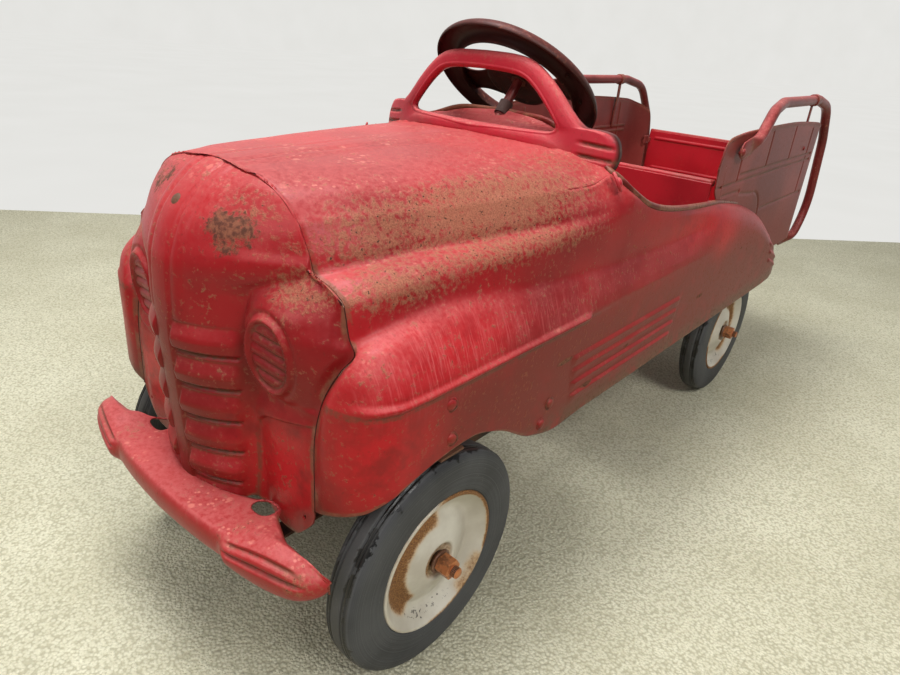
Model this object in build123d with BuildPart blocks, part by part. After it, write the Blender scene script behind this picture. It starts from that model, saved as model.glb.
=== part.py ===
"""Child's sheet-metal pedal station wagon.

Frame: +X is the car's left side, -Y its front, +Z up, millimetres.
The origin is on the ground, on the middle plane, half way along the car.
Lengths along the car are given as stations: the distance behind the front axle.
"""
from build123d import *
from math import atan2, cos, degrees, hypot, radians, sin
import os

os.makedirs("parts", exist_ok=True)

# Driving dimensions
WHEEL_R = 101.6             # eight-inch wheel
RIM_R = 64.9
TYRE_W = 30.0
WHEEL_BASE = 692.0
FRONT_AXLE_Y = -435.3       # the front axle, measured from the middle of the car
FRONT_TYRE_X = 168.7        # outer face of the front tyres
REAR_TYRE_X = 156.3         # outer face of the rear tyres
AXLE_Z = WHEEL_R
BODY_HALF_W = 180.0
SKIRT_Z = 180.0
SHEET = 1.6                 # pressed body panels
RUN = 0.05                  # radial clearance of a running fit
GAP = 0.4                   # side clearance between parts that turn past each other

COLUMN_TILT = 38.5          # steering wheel plane, from level
COLUMN_R = 5.0
HUB_S, HUB_Z = 270.0, 453.0  # centre of the steering wheel's front face
STEER_ARM = 45.0
WHEEL_RIM_R = 92.0

KING_X = 112.0              # kingpins
KING_R = 4.0
AXLE_R = 4.75               # axle rod
CRANK_R = 45.0
CRANK_X = 70.0              # crank pins and pedal rods
PEDAL_S = 130.0             # the pedals' middle position
HANGER_Z = 330.0
HANGER_X = 80.0
RAIL_X = 100.0
RAIL_W = 14.0
RAIL_TOP_Z = 205.0
RAIL_H = 20.0
BED_Z = 232.0
GATE_S = 930.0
TUBE_R = 7.0                # hand rails
PANEL_X = 165.5             # outer face of the wagon's side panels


def y_at(station):
    """Frame Y of a station behind the front axle."""
    return FRONT_AXLE_Y + station


def cross_plane(station):
    """Cross-section plane, with sketch axes (X, Z)."""
    return Plane.XZ.offset(-y_at(station))


def side_view(points):
    """Station and height pairs as coordinates on the YZ plane."""
    return [(y_at(s), z) for s, z in points]


def save(builder, name):
    """Label a finished piece and write it under its node's name."""
    builder.part.label = name
    export_step(builder.part, f"parts/{name}.step")


def inset(points, depth):
    """Half outline moved towards the inside of the shell by the sheet's thickness."""
    moved = []
    for i, (x, z) in enumerate(points):
        x0, z0 = points[max(i - 1, 0)]
        x1, z1 = points[min(i + 1, len(points) - 1)]
        length = hypot(x1 - x0, z1 - z0)
        moved.append((x + depth * (z1 - z0) / length, z - depth * (x1 - x0) / length))
    moved[0] = (0, moved[0][1])
    return moved


def arch_loft(sections, depth, drop):
    """Loft of arch-shaped cross-sections, inset by depth, its foot lowered by drop."""
    with BuildPart() as arch:
        for station, half in sections:
            outline = inset(half, depth) if depth else list(half)
            foot_x, foot_z = outline.pop()
            left = [(-x, z) for x, z in reversed(outline)]
            with BuildSketch(cross_plane(station)):
                with BuildLine():
                    Spline(*(left + outline[1:]))
                    Polyline(outline[-1], (foot_x, foot_z - drop), (-foot_x, foot_z - drop), left[0])
                make_face()
        loft(ruled=True)
    return arch.part


# Body shell: hood, cowl, sides and fenders in one pressing, open below.
# Each half outline runs crown, hood side, shoulder crease, bulge, valley, fender, skirt.
HOOD_SECTIONS = [
    (-97, [(0, 385), (40, 382), (68, 370), (84, 352), (98, 336), (112, 318),
           (122, 302), (132, 288), (141, 272), (146, 250), (147, 186)]),
    (-90, [(0, 400), (40, 397), (72, 388), (90, 370), (105, 348), (122, 337),
           (134, 320), (146, 308), (160, 290), (166, 262), (167, 200)]),
    (-75, [(0, 409), (42, 407), (76, 398), (97, 377), (112, 355), (134, 342),
           (143, 318), (154, 309), (171, 294), (178, 268), (178, 212)]),
    (0, [(0, 411), (60, 409), (96, 400), (114, 383), (126, 362), (147, 350),
         (154, 335), (166, 325), (177, 307), (180, 274), (180, 216)]),
    (60, [(0, 412), (70, 410), (107, 402), (126, 384), (138, 363), (155, 352),
          (160, 335), (169, 323), (178, 305), (180, 270), (180, 216)]),
    (110, [(0, 413), (80, 411), (118, 403), (138, 386), (150, 365), (163, 352),
           (165, 334), (171, 318), (178, 300), (180, 266), (180, SKIRT_Z)]),
    (200, [(0, 415), (92, 412), (133, 404), (154, 390), (165, 369), (170, 351),
           (169, 327), (172, 310), (178, 295), (180, 262), (180, SKIRT_Z)]),
    (256, [(0, 432), (88, 424), (134, 408), (158, 391), (168, 370), (171, 350),
           (169, 325), (172, 308), (178, 293), (180, 260), (180, SKIRT_Z)]),
    (320, [(0, 420), (90, 414), (138, 402), (160, 388), (168, 368), (170, 348),
           (169, 323), (172, 306), (178, 292), (180, 260), (180, SKIRT_Z)]),
    (440, [(0, 380), (90, 379), (138, 376), (160, 370), (167, 359), (169, 343),
           (169, 328), (172, 314), (178, 297), (180, 260), (180, SKIRT_Z)]),
]
REAR_FENDER = [(500, 324, 180), (561, 318, 180), (636, 300, 180), (711, 265, 180),
               (762, 234, 179), (802, 204, 174)]   # station, height, half width


def rear_section(top_z, half_w):
    """Half outline over the rear fenders."""
    return [(0, top_z), (90, top_z), (130, top_z), (150, top_z), (158, top_z - 0.5),
            (half_w - 16, top_z - 2), (half_w - 10, top_z - 6), (half_w - 5, top_z - 12),
            (half_w - 1.5, top_z - 20), (half_w, min(top_z - 23, 260)), (half_w, SKIRT_Z - 0.5)]


body_sections = HOOD_SECTIONS + [(s, rear_section(z, w)) for s, z, w in REAR_FENDER]
body_outer = arch_loft(body_sections, 0, 0)
inner_sections = [(HOOD_SECTIONS[0][0] + SHEET, HOOD_SECTIONS[0][1])] + body_sections[1:-1]
inner_sections.append((802 - SHEET, rear_section(204, 174)))
body_inner = arch_loft(inner_sections, SHEET, 30)

# Cockpit opening: its edge in side view, cut back to a curve across the cowl in plan
with BuildPart() as cockpit_cut:
    with BuildSketch(Plane.XY.offset(300)):
        with BuildLine():
            ThreePointArc((-190, y_at(206)), (0, y_at(256)), (190, y_at(206)))
            Polyline((190, y_at(206)), (190, y_at(492)), (-190, y_at(492)), (-190, y_at(206)))
        make_face()
    extrude(amount=150)
    with BuildSketch(Plane.YZ):
        with BuildLine():
            Spline(*side_view([(204, 420), (216, 407), (239, 383), (273, 366), (311, 357),
                               (364, 350), (420, 345), (468, 341), (492, 334)]))
            Polyline(*side_view([(492, 334), (492, 460), (204, 460), (204, 420)]))
        make_face()
    extrude(amount=200, both=True, mode=Mode.INTERSECT)

NOSE_S = -75.0              # seam between nose and hood
FENDER_INNER_X = 127.0
with BuildPart() as body_shell:
    add(body_outer)
    add(body_inner, mode=Mode.SUBTRACT)
    add(cockpit_cut.part, mode=Mode.SUBTRACT)
    # bed opening between the rear fenders
    with Locations((0, y_at(640), 260)):
        Box(2 * PANEL_X + 1, 340, 200, mode=Mode.SUBTRACT)
    # room for the nose pressing
    with Locations((0, y_at(NOSE_S - 25), 300)):
        Box(2 * FENDER_INNER_X, 50, 300, mode=Mode.SUBTRACT)
    with Locations((0, y_at(NOSE_S - 25), 400)):
        Box(400, 50, 120, mode=Mode.SUBTRACT)
    # hole for the steering column
    with Locations(Plane(origin=(0, y_at(HUB_S), HUB_Z), z_dir=(0, sin(radians(COLUMN_TILT)),
                                                                cos(radians(COLUMN_TILT))))):
        Cylinder(COLUMN_R + 2.5, 120, mode=Mode.SUBTRACT)
    # raised trim bead and ribs pressed in each side
    for side in (1, -1):
        with Locations((side * (BODY_HALF_W + 1), y_at(56), 280.5)):
            Box(3, 220, 6)
        for rib in range(4):
            with Locations((side * (BODY_HALF_W + 1), y_at(267), 240 - 13 * rib)):
                Box(3, 232 - 16 * rib, 7)
save(body_shell, "body_shell")


# Nose pressing: plan outlines stacked from the grille's foot to the hood
NOSE_SECTIONS = [   # height, half width at the seam, station of the front, bluntness
    (152, 78, -123, 2.0), (200, 76, -125.5, 2.0), (290, 76, -128.5, 2.0), (330, 78, -127.5, 2.0),
    (346, 98, -126, 1.7), (358, 106, -123.5, 1.6), (377, 97, -116, 1.6), (390, 86, -107, 1.7),
    (398, 76, -100, 1.8), (405, 52, -91, 1.8), (408.5, 25, -83, 1.8)]
LAMP = (87.0, -101.0, 296.0)  # X, station and height of a headlight
LAMP_TURN = 8.0
APRON_S = -96.0
APRON = [(55, 262), (127, 262), (127, 184), (122, 171), (102, 155), (70, 158), (55, 166), (55, 262)]


def plan_loft(depth, back, foot_drop, grow=0.0):
    """Loft of nose plans, inset by depth or grown, open towards the hood at station back."""
    with BuildPart() as nose:
        for i, (z, half_w, front, blunt) in enumerate(NOSE_SECTIONS):
            w = half_w - depth + grow
            f = front + depth - grow
            z_in = z - foot_drop if i == 0 else z - (depth if z > 350 else 0)
            half = [(share * w, f + (NOSE_S - f) * (1 - (1 - share ** blunt) ** 0.85))
                    for share in (0, 0.22, 0.44, 0.64, 0.8, 0.93, 1)]
            right = [(x, y_at(s)) for x, s in half]
            left = [(-x, y) for x, y in reversed(right)]
            with BuildSketch(Plane.XY.offset(z_in)):
                with BuildLine():
                    Spline(*(left + right[1:]))
                    Polyline(right[-1], (w, y_at(back)), (-w, y_at(back)), left[0])
                make_face()
        loft(ruled=True)
    return nose.part


nose_outer = plan_loft(0, NOSE_S + 0.01, 0)
nose_inner = plan_loft(SHEET, NOSE_S + 6, 12)
nose_proud = plan_loft(0, NOSE_S + 0.01, 0, grow=4)

GRILLE_BARS = 6
GRILLE_PITCH = 27.0
GRILLE_TOP_Z = 292.5        # middle of the top bar
BAR_H = 18.0
BAR_INNER_X = 10.0
with BuildPart() as grille_bars:
    for side in (1, -1):
        for bar in range(GRILLE_BARS):
            reach = 40 - 1.4 * bar
            with BuildSketch(cross_plane(-100)):
                with Locations((side * (BAR_INNER_X + reach / 2), GRILLE_TOP_Z - GRILLE_PITCH * bar)):
                    RectangleRounded(reach, BAR_H, 5)
            extrude(amount=40)
    with BuildSketch(cross_plane(-100)):
        with Locations((0, 270)):
            RectangleRounded(10, 232, 4)
    extrude(amount=40)
    add(nose_proud, mode=Mode.INTERSECT)
    add(nose_outer, mode=Mode.SUBTRACT)


def lamp_plane(side, out):
    """Plane across a headlight's axis, moved out along it, with sketch Y up."""
    nx, ny = side * sin(radians(LAMP_TURN)), -cos(radians(LAMP_TURN))
    origin = (side * LAMP[0] + nx * out, y_at(LAMP[1]) + ny * out, LAMP[2])
    return Plane(origin=origin, x_dir=(-ny, nx, 0), z_dir=(nx, ny, 0))


POD_PLANS = [   # depth behind the lens, half width, half height, shift outward
    (-3, 20, 28, 0), (2, 24, 33, 0), (14, 31, 37, 6), (26, 36, 40, 10)]


def pod(side, inside):
    """Headlight housing, or the space inside it."""
    with BuildPart() as housing:
        for depth, rx, rz, shift in POD_PLANS:
            with BuildSketch(lamp_plane(side, -depth - inside)):
                with Locations((side * shift, 0)):
                    Ellipse(rx - inside, rz - inside)
        loft()
    return housing.part


with BuildPart() as nose_panel:
    add(nose_outer)
    for side in (1, -1):
        add(pod(side, 0))
        with BuildSketch(cross_plane(APRON_S + SHEET)):
            with BuildLine():
                Polyline(*[(side * x, z) for x, z in APRON])
            make_face()
        extrude(amount=SHEET)
    add(nose_inner, mode=Mode.SUBTRACT)
    for side in (1, -1):
        add(pod(side, SHEET), mode=Mode.SUBTRACT)
        for rib in range(-2, 3):
            with BuildSketch(lamp_plane(side, 2.5)):
                with Locations((0, 9 * rib)):
                    RectangleRounded(34 - 5 * abs(rib), 4.4, 2)
            extrude(amount=2)
    add(grille_bars.part)
    # trimmed where it meets the hood and the fenders
    for side in (1, -1):
        with Locations((side * (FENDER_INNER_X + 20), y_at(-60), 280)):
            Box(40, 200, 400, mode=Mode.SUBTRACT)
    with Locations((0, y_at(NOSE_S + 30), 280)):
        Box(400, 60, 400, mode=Mode.SUBTRACT)
save(nose_panel, "nose_panel")

# Front bumper: bowed blade with a top shelf and a bulged guard at each end
BUMPER_Z = 144.0
BUMPER_H = 25.0
BUMPER_FRONT = -153.0
BUMPER_TIP = (164.0, -112.0)
BUMPER_BACK = -85.0         # behind the blade's tips
BLADE_T = 2.0
SHELF_DEPTH = 16.0
# guards: X, station, half depth and half height of each section
GUARD_SECTIONS = [(92, -136, 5, 9), (128, -128, 12, 17), (165, -112, 7, 10)]


def bumper_plan(setback):
    """Face behind the bumper's bow, its front set back from the blade's front."""
    tip_x, tip_y = BUMPER_TIP[0], y_at(BUMPER_TIP[1] + setback)
    with BuildSketch() as plan:
        with BuildLine():
            ThreePointArc((-tip_x, tip_y), (0, y_at(BUMPER_FRONT + setback)), (tip_x, tip_y))
            Polyline((tip_x, tip_y), (tip_x, y_at(BUMPER_BACK)), (-tip_x, y_at(BUMPER_BACK)), (-tip_x, tip_y))
        make_face()
    return plan.sketch


with BuildPart() as front_bumper:
    with BuildSketch(Plane.XY.offset(BUMPER_Z)):
        add(bumper_plan(0))
    extrude(amount=BUMPER_H)
    with BuildSketch(Plane.XY.offset(BUMPER_Z - 1)):
        add(bumper_plan(BLADE_T))
    extrude(amount=BUMPER_H + 1 - BLADE_T, mode=Mode.SUBTRACT)
    with BuildSketch(Plane.XY.offset(BUMPER_Z - 1)):
        add(bumper_plan(SHELF_DEPTH))
    extrude(amount=BUMPER_H + 2, mode=Mode.SUBTRACT)
    for side in (1, -1):
        for x, station, half_depth, half_h in GUARD_SECTIONS:
            with BuildSketch(Plane(origin=(side * x, y_at(station), BUMPER_Z + 12),
                                   x_dir=(0, 1, 0), z_dir=(side, 0, 0))):
                Ellipse(half_depth, half_h)
        loft()
save(front_bumper, "front_bumper")

# Windshield frame: a leaning, bowed sheet cut to the outline with one opening
SHIELD_S = 199.0
SHIELD_LEAN = 10.0
with BuildPart() as windshield_frame:
    with BuildSketch(Plane.XY.offset(396)):
        with BuildLine():
            ThreePointArc((-152, y_at(SHIELD_S + 36)), (0, y_at(SHIELD_S)), (152, y_at(SHIELD_S + 36)))
            Line((152, y_at(SHIELD_S + 36)), (152, y_at(SHIELD_S + 39)))
            ThreePointArc((152, y_at(SHIELD_S + 39)), (0, y_at(SHIELD_S + 3)), (-152, y_at(SHIELD_S + 39)))
            Line((-152, y_at(SHIELD_S + 39)), (-152, y_at(SHIELD_S + 36)))
        make_face()
    extrude(amount=110, dir=(0, sin(radians(SHIELD_LEAN)), cos(radians(SHIELD_LEAN))))
    with BuildSketch(cross_plane(300)):
        with BuildLine():
            Spline((-150, 403), (-100, 417), (0, 425), (100, 417), (150, 403))
            Polyline((150, 403), (151, 418), (144, 429), (116, 431))
            Spline((116, 431), (96, 448), (72, 474), (48, 486), (0, 488),
                   (-48, 486), (-72, 474), (-96, 448), (-116, 431))
            Polyline((-116, 431), (-144, 429), (-151, 418), (-150, 403))
        make_face()
        with BuildLine():
            Spline((-88, 430), (0, 441), (88, 430))
            Spline((88, 430), (76, 447), (52, 464), (30, 470), (0, 471),
                   (-30, 470), (-52, 464), (-76, 447), (-88, 430))
        make_face(mode=Mode.SUBTRACT)
    extrude(amount=200, mode=Mode.INTERSECT)
save(windshield_frame, "windshield_frame")

# Seat
SEAT_Z = 222.0
SEAT_BACK_W = 318.0
with BuildPart() as seat_pan:
    with BuildSketch(Plane.YZ):
        with BuildLine():
            Polyline(*side_view([(330, 208), (330, SEAT_Z), (452, SEAT_Z), (452, 214)]))
            offset(amount=SHEET / 2)
        make_face()
    extrude(amount=BODY_HALF_W - 6, both=True)
save(seat_pan, "seat_pan")

with BuildPart() as seat_back:
    with BuildSketch(Plane.YZ):
        with BuildLine():
            Polyline(*side_view([(456, SEAT_Z - 6), (454, SEAT_Z + 8), (466, 365), (474, 364),
                                 (475, 352)]))
            offset(amount=SHEET / 2)
        make_face()
    extrude(amount=SEAT_BACK_W / 2, both=True)
save(seat_back, "seat_back")

# Wagon bed
with BuildPart() as bed_floor:
    with BuildSketch(Plane.XY.offset(BED_Z)):
        with BuildLine():
            Polyline((-161, y_at(489)), (161, y_at(489)), (161, y_at(872)), (141, y_at(925)),
                     (-141, y_at(925)), (-161, y_at(872)), (-161, y_at(489)))
        make_face()
    extrude(amount=SHEET)
    for x in (-60, 0, 60):
        with Locations((x, y_at(705), BED_Z - 3)):
            Box(14, 420, 6)
    with Locations((0, y_at(924), BED_Z - 10)):
        Box(276, 2, 20)
    # ears that hold the tailgate's hinge pin
    for side in (1, -1):
        with BuildSketch(Plane.YZ.offset(side * 140.5)):
            with Locations((y_at(927), BED_Z - 4)):
                RectangleRounded(18, 13, 4)
            with Locations((y_at(931.5), BED_Z - 4)):
                Circle(2.5, mode=Mode.SUBTRACT)
        extrude(amount=1, both=True)
save(bed_floor, "bed_floor")

PANEL_OUTLINE = [(481, 338), (463, 352), (456, 368), (456, 395), (464, 408), (478, 414),
                 (535, 419), (700, 421), (860, 414), (922, 398), (929, 388), (931, 222),
                 (900, 219), (802, 226), (760, 290), (700, 330), (600, 345), (560, 339)]
for side, sx in (("left", 1), ("right", -1)):
    with BuildPart() as side_panel:
        with BuildSketch(Plane.XY.offset(210)):
            with BuildLine():
                flat = Line((sx * (PANEL_X - 0.8), y_at(450)), (sx * (PANEL_X - 0.8), y_at(868)))
                TangentArc(flat @ 1, (sx * 145, y_at(931.5)), tangent=flat % 1)
                offset(amount=0.8)
            make_face()
        extrude(amount=220)
        with BuildSketch(Plane.YZ):
            with BuildLine():
                Polyline(*side_view(PANEL_OUTLINE[:14] + [(481, 226), (481, 338)]))
            make_face()
        extrude(amount=200, both=True, mode=Mode.INTERSECT)
    save(side_panel, f"wagon_side_panel_{side}")

# Hand rails over the wagon's sides
RAIL_PATH = [(172.8, 500, 396), (172.8, 556, 407), (172.6, 606, 434), (161, 664, 446),
             (161, 836, 446),
             (160, 975, 425), (159, 1020, 300), (158, 1000, 236), (148, 955, 212), (146, 905, 211)]
for side, sx in (("left", 1), ("right", -1)):
    points = [(sx * x, y_at(s), z) for x, s, z in RAIL_PATH]
    with BuildPart() as rail:
        with BuildLine() as path:
            FilletPolyline(*points, radius=[40, 40, 40, 40, 50, 60, 24, 24])
        with BuildSketch(Plane(origin=path.line @ 0, z_dir=path.line % 0)):
            Circle(TUBE_R)
            Circle(TUBE_R - 1.5, mode=Mode.SUBTRACT)
        sweep()
    save(rail, f"hand_rail_{side}")

# Bands round the rails, each with a strap down to the panel's inner face
with BuildPart() as rail_clips:
    for sx in (1, -1):
        with Locations((sx * 162.6, y_at(814), (438 + 372) / 2)):
            Box(2, 8, 438 - 372)
        with Locations(Location((sx * 161, y_at(814), 446), (90, 0, 0))):
            Cylinder(TUBE_R + 1.8, 9)
            Cylinder(TUBE_R, 9, mode=Mode.SUBTRACT)
save(rail_clips, "rail_clips")

# Tailgate on a pin along its foot
GATE_W = 276.0
GATE_PIN_R = 2.5
GATE_PIN = (GATE_S + 1.5, BED_Z - 4)    # station and height of the hinge
with BuildPart() as tailgate:
    with Locations((0, y_at(GATE_PIN[0] + 1.2), (BED_Z + 357) / 2)):
        Box(GATE_W, SHEET, 357 - BED_Z)
    with BuildSketch(cross_plane(GATE_PIN[0] + 2)):
        with Locations((0, 296)):
            RectangleRounded(GATE_W - 24, 100, 10)
            RectangleRounded(GATE_W - 32, 92, 8, mode=Mode.SUBTRACT)
    extrude(amount=-1.4)
    with BuildSketch(Plane.YZ):
        with Locations((y_at(GATE_PIN[0]), GATE_PIN[1])):
            Circle(4)
        with Locations((y_at(GATE_PIN[0] + 1.2), GATE_PIN[1] + 3.5)):
            Rectangle(SHEET, 5)
        with Locations((y_at(GATE_PIN[0]), GATE_PIN[1])):
            Circle(GATE_PIN_R + RUN, mode=Mode.SUBTRACT)
    extrude(amount=GATE_W / 2, both=True)
    # rolled top edge
    with Locations(Location((0, y_at(GATE_PIN[0] + 2), 357), (0, 90, 0))):
        Cylinder(3, GATE_W)
save(tailgate, "tailgate")

with BuildPart() as tailgate_pin:
    with Locations(Location((0, y_at(GATE_PIN[0]), GATE_PIN[1]), (0, 90, 0))):
        Cylinder(GATE_PIN_R, 288)
save(tailgate_pin, "tailgate_hinge_pin")

with BuildPart() as tailgate_catches:
    for side in (1, -1):
        with Locations((side * 141.6, y_at(923.5), 340)):
            Box(4, 12, 14)
        with Locations((side * 139, y_at(927.8), 340)):
            Box(9, 3, 8)
save(tailgate_catches, "tailgate_catches")

# Underframe
RAIL_Z = RAIL_TOP_Z - RAIL_H / 2
RAIL_FOOT_Z = RAIL_TOP_Z - RAIL_H
RAIL_FROM, RAIL_TO = -62.0, 745.0
for side, sx in (("left", 1), ("right", -1)):
    with BuildPart() as frame_rail:
        with Locations((sx * RAIL_X, y_at((RAIL_FROM + RAIL_TO) / 2), RAIL_Z)):
            Box(RAIL_W, RAIL_TO - RAIL_FROM, RAIL_H)
        with Locations((sx * (RAIL_X - 2), y_at((RAIL_FROM + RAIL_TO) / 2), RAIL_Z)):
            Box(RAIL_W, RAIL_TO - RAIL_FROM, RAIL_H - 4, mode=Mode.SUBTRACT)
    save(frame_rail, f"frame_rail_{side}")

with BuildPart() as cross_members:
    with Locations((0, y_at(-5), RAIL_TOP_Z + 11)):
        Box(2 * (BODY_HALF_W - SHEET) - 6, 26, 2)
    for side in (1, -1):
        with Locations((side * RAIL_X, y_at(-5), RAIL_TOP_Z + 5)):
            Box(20, 26, 10)
    with Locations((0, y_at(350), RAIL_TOP_Z + 1.5)):
        Box(2 * (BODY_HALF_W - SHEET) - 4, 30, 3)
    with Locations((0, y_at(735), RAIL_TOP_Z + 1.5)):
        Box(236, 20, 3)
    for side in (1, -1):
        with Locations((side * RAIL_X, y_at(735), (RAIL_TOP_Z + 3 + BED_Z) / 2)):
            Box(20, 20, BED_Z - RAIL_TOP_Z - 3)
save(cross_members, "cross_members")

# Front axle: a flat beam hung from the rails, with a kingpin through each end
BEAM_Z = 108.0
BEAM_T = 6.0
BEAM_TOP_Z = BEAM_Z + BEAM_T
with BuildPart() as front_axle_beam:
    with BuildSketch(Plane.XY.offset(BEAM_Z)):
        with Locations((0, y_at(0))):
            SlotOverall(2 * KING_X + 22, 22)
            with Locations((-KING_X, 0), (KING_X, 0)):
                Circle(KING_R, mode=Mode.SUBTRACT)
    extrude(amount=BEAM_T)
save(front_axle_beam, "front_axle_beam")

with BuildPart() as axle_hangers:
    for side in (1, -1):
        with Locations((side * 85, y_at(-3), (BEAM_TOP_Z + RAIL_FOOT_Z) / 2)):
            Box(4, 16, RAIL_FOOT_Z - BEAM_TOP_Z)
        with Locations((side * 93, y_at(-3), RAIL_FOOT_Z - 1.5)):
            Box(20, 16, 3)
        with Locations((side * 80, y_at(-3), BEAM_TOP_Z + 1.5)):
            Box(14, 16, 3)
save(axle_hangers, "axle_hangers")

with BuildPart() as kingpins:
    for side in (1, -1):
        with Locations((side * KING_X, y_at(0), 101)):
            Cylinder(KING_R, 32)
        with Locations((side * KING_X, y_at(0), BEAM_Z + BEAM_T + 1.5)):
            Cylinder(7, 3)
        with Locations((side * KING_X, y_at(0), 86)):
            Cylinder(7, 2)
save(kingpins, "kingpins")

# Steering knuckles: sleeve, stub axle and rearward arm
KNUCKLE_Z = (87.5, BEAM_Z - GAP)
ARM_Z = (91.0, 95.0)
TIE_Z = (86.5, 90.5)
STUB_TIP_X = 187.0
for side, sx in (("left", 1), ("right", -1)):
    with BuildPart() as knuckle:
        with Locations((sx * KING_X, y_at(0), sum(KNUCKLE_Z) / 2)):
            Cylinder(9, KNUCKLE_Z[1] - KNUCKLE_Z[0])
        with Locations(Location((sx * (KING_X + STUB_TIP_X) / 2, y_at(0), AXLE_Z), (0, 90, 0))):
            Cylinder(AXLE_R, STUB_TIP_X - KING_X)
        with Locations(Location((sx * 126.5, y_at(0), AXLE_Z), (0, 90, 0))):
            Cylinder(7.5, 3)
        with BuildSketch(Plane.XY.offset(ARM_Z[0])):
            with Locations((sx * KING_X, y_at(STEER_ARM / 2))):
                Rectangle(12, STEER_ARM)
            with Locations((sx * KING_X, y_at(STEER_ARM))):
                Circle(8)
        extrude(amount=ARM_Z[1] - ARM_Z[0])
        with Locations((sx * KING_X, y_at(0), 100)):
            Cylinder(KING_R + RUN, 60, mode=Mode.SUBTRACT)
        with Locations((sx * KING_X, y_at(STEER_ARM), 93)):
            Cylinder(3 + RUN, 20, mode=Mode.SUBTRACT)
    save(knuckle, f"steering_knuckle_{side}")

with BuildPart() as tie_rod:
    with BuildSketch(Plane.XY.offset(TIE_Z[0])):
        with Locations((0, y_at(STEER_ARM))):
            SlotOverall(2 * KING_X + 14, 14)
        with Locations((0, y_at(40))):
            RectangleRounded(30, 36, 6)
        with Locations((0, y_at(38.6))):
            SlotOverall(20, 9, 90, mode=Mode.SUBTRACT)
        with Locations((-KING_X, y_at(STEER_ARM)), (KING_X, y_at(STEER_ARM))):
            Circle(3, mode=Mode.SUBTRACT)
    extrude(amount=TIE_Z[1] - TIE_Z[0])
save(tie_rod, "tie_rod")

with BuildPart() as tie_rod_pins:
    for side in (1, -1):
        with Locations((side * KING_X, y_at(STEER_ARM), 91)):
            Cylinder(3, 13)
        with Locations((side * KING_X, y_at(STEER_ARM), TIE_Z[0] - 1.5)):
            Cylinder(5, 3)
        with Locations((side * KING_X, y_at(STEER_ARM), ARM_Z[1] + GAP + 1.2)):
            Cylinder(5, 2)
save(tie_rod_pins, "tie_rod_pins")

# Steering column, leaning with the wheel, with a drop arm at its foot
TILT = radians(COLUMN_TILT)
COLUMN_DIR = Vector(0, sin(TILT), cos(TILT))
ARM_DIR = Vector(0, cos(TILT), -sin(TILT))
HUB = Vector(0, y_at(HUB_S), HUB_Z)
COLUMN_FOOT = (HUB_S + STEER_ARM * cos(TILT) - STEER_ARM) / sin(TILT)   # hub to foot


def on_column(distance):
    """Plane across the column at a distance below the hub, its Y along the drop arm."""
    return Plane(origin=HUB - COLUMN_DIR * distance, x_dir=(1, 0, 0), z_dir=COLUMN_DIR)


COLUMN_OVER = 17.0          # rod beyond the wheel's face, for its nut
ARM_W = 14.0
DROP_PIN_R = 3.0
DROP_PIN_L = 19.0
arm_sign = 1 if on_column(0).y_dir.dot(ARM_DIR) > 0 else -1
with BuildPart() as steering_column:
    with BuildSketch(on_column(COLUMN_FOOT + 5)):
        Circle(COLUMN_R)
    extrude(amount=COLUMN_FOOT + 5 + COLUMN_OVER)
    with BuildSketch(on_column(COLUMN_FOOT + 2)):
        Circle(8)
        with Locations((0, arm_sign * STEER_ARM / 2)):
            SlotOverall(STEER_ARM + ARM_W, ARM_W, 90)
    extrude(amount=4)
    with BuildSketch(on_column(COLUMN_FOOT + DROP_PIN_L)):
        with Locations((0, arm_sign * STEER_ARM)):
            Circle(DROP_PIN_R)
    extrude(amount=DROP_PIN_L)
save(steering_column, "steering_column")

WHEEL_DEPTH = 12.0
with BuildPart() as steering_wheel:
    with BuildSketch(Plane.YZ):
        with BuildLine():
            Polyline((WHEEL_RIM_R, 0), (WHEEL_RIM_R - 1, 9), (WHEEL_RIM_R - 5, WHEEL_DEPTH),
                     (71, WHEEL_DEPTH), (67.5, 9), (66, 0), (67.5, 0), (69, 8.2),
                     (71.6, WHEEL_DEPTH - 1.5), (WHEEL_RIM_R - 5.6, WHEEL_DEPTH - 1.5),
                     (WHEEL_RIM_R - 2.5, 8.2), (WHEEL_RIM_R - 1.5, 0), (WHEEL_RIM_R, 0))
        make_face()
    revolve(axis=Axis.Z)
    with BuildSketch(Plane.XY.offset(7)):
        Rectangle(137, 34)
        Circle(34)
        Circle(COLUMN_R, mode=Mode.SUBTRACT)
    extrude(amount=1.6)
    with BuildSketch(Plane.XY):
        Circle(10)
        Circle(COLUMN_R, mode=Mode.SUBTRACT)
    extrude(amount=8)
steering_wheel.part.locate(Location(on_column(0)))
save(steering_wheel, "steering_wheel")

with BuildPart() as steering_nut:
    with BuildSketch(on_column(-8.6)):
        RegularPolygon(9, 6)
        Circle(COLUMN_R, mode=Mode.SUBTRACT)
    extrude(amount=7)
save(steering_nut, "steering_wheel_nut")

with BuildPart() as column_grommet:
    with BuildSketch(on_column(32)):
        Circle(COLUMN_R + 2.4)
        Circle(COLUMN_R + RUN, mode=Mode.SUBTRACT)
    extrude(amount=14)
save(column_grommet, "column_grommet")

BUSH_AT = 362.0
with BuildPart() as column_bracket:
    with BuildSketch(Plane.YZ):
        with BuildLine():
            Polyline(*side_view([(-8, 215), (8, 215), (8, 197), (46, 171), (40, 163), (-2, 191),
                                 (-8, 191), (-8, 215)]))
        make_face()
    extrude(amount=9, both=True)
    with BuildSketch(on_column(BUSH_AT + 8)):
        Circle(10)
    extrude(amount=16)
    with BuildSketch(on_column(BUSH_AT + 60)):
        Circle(COLUMN_R + RUN)
    extrude(amount=100, mode=Mode.SUBTRACT)
save(column_bracket, "column_bracket")

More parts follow.
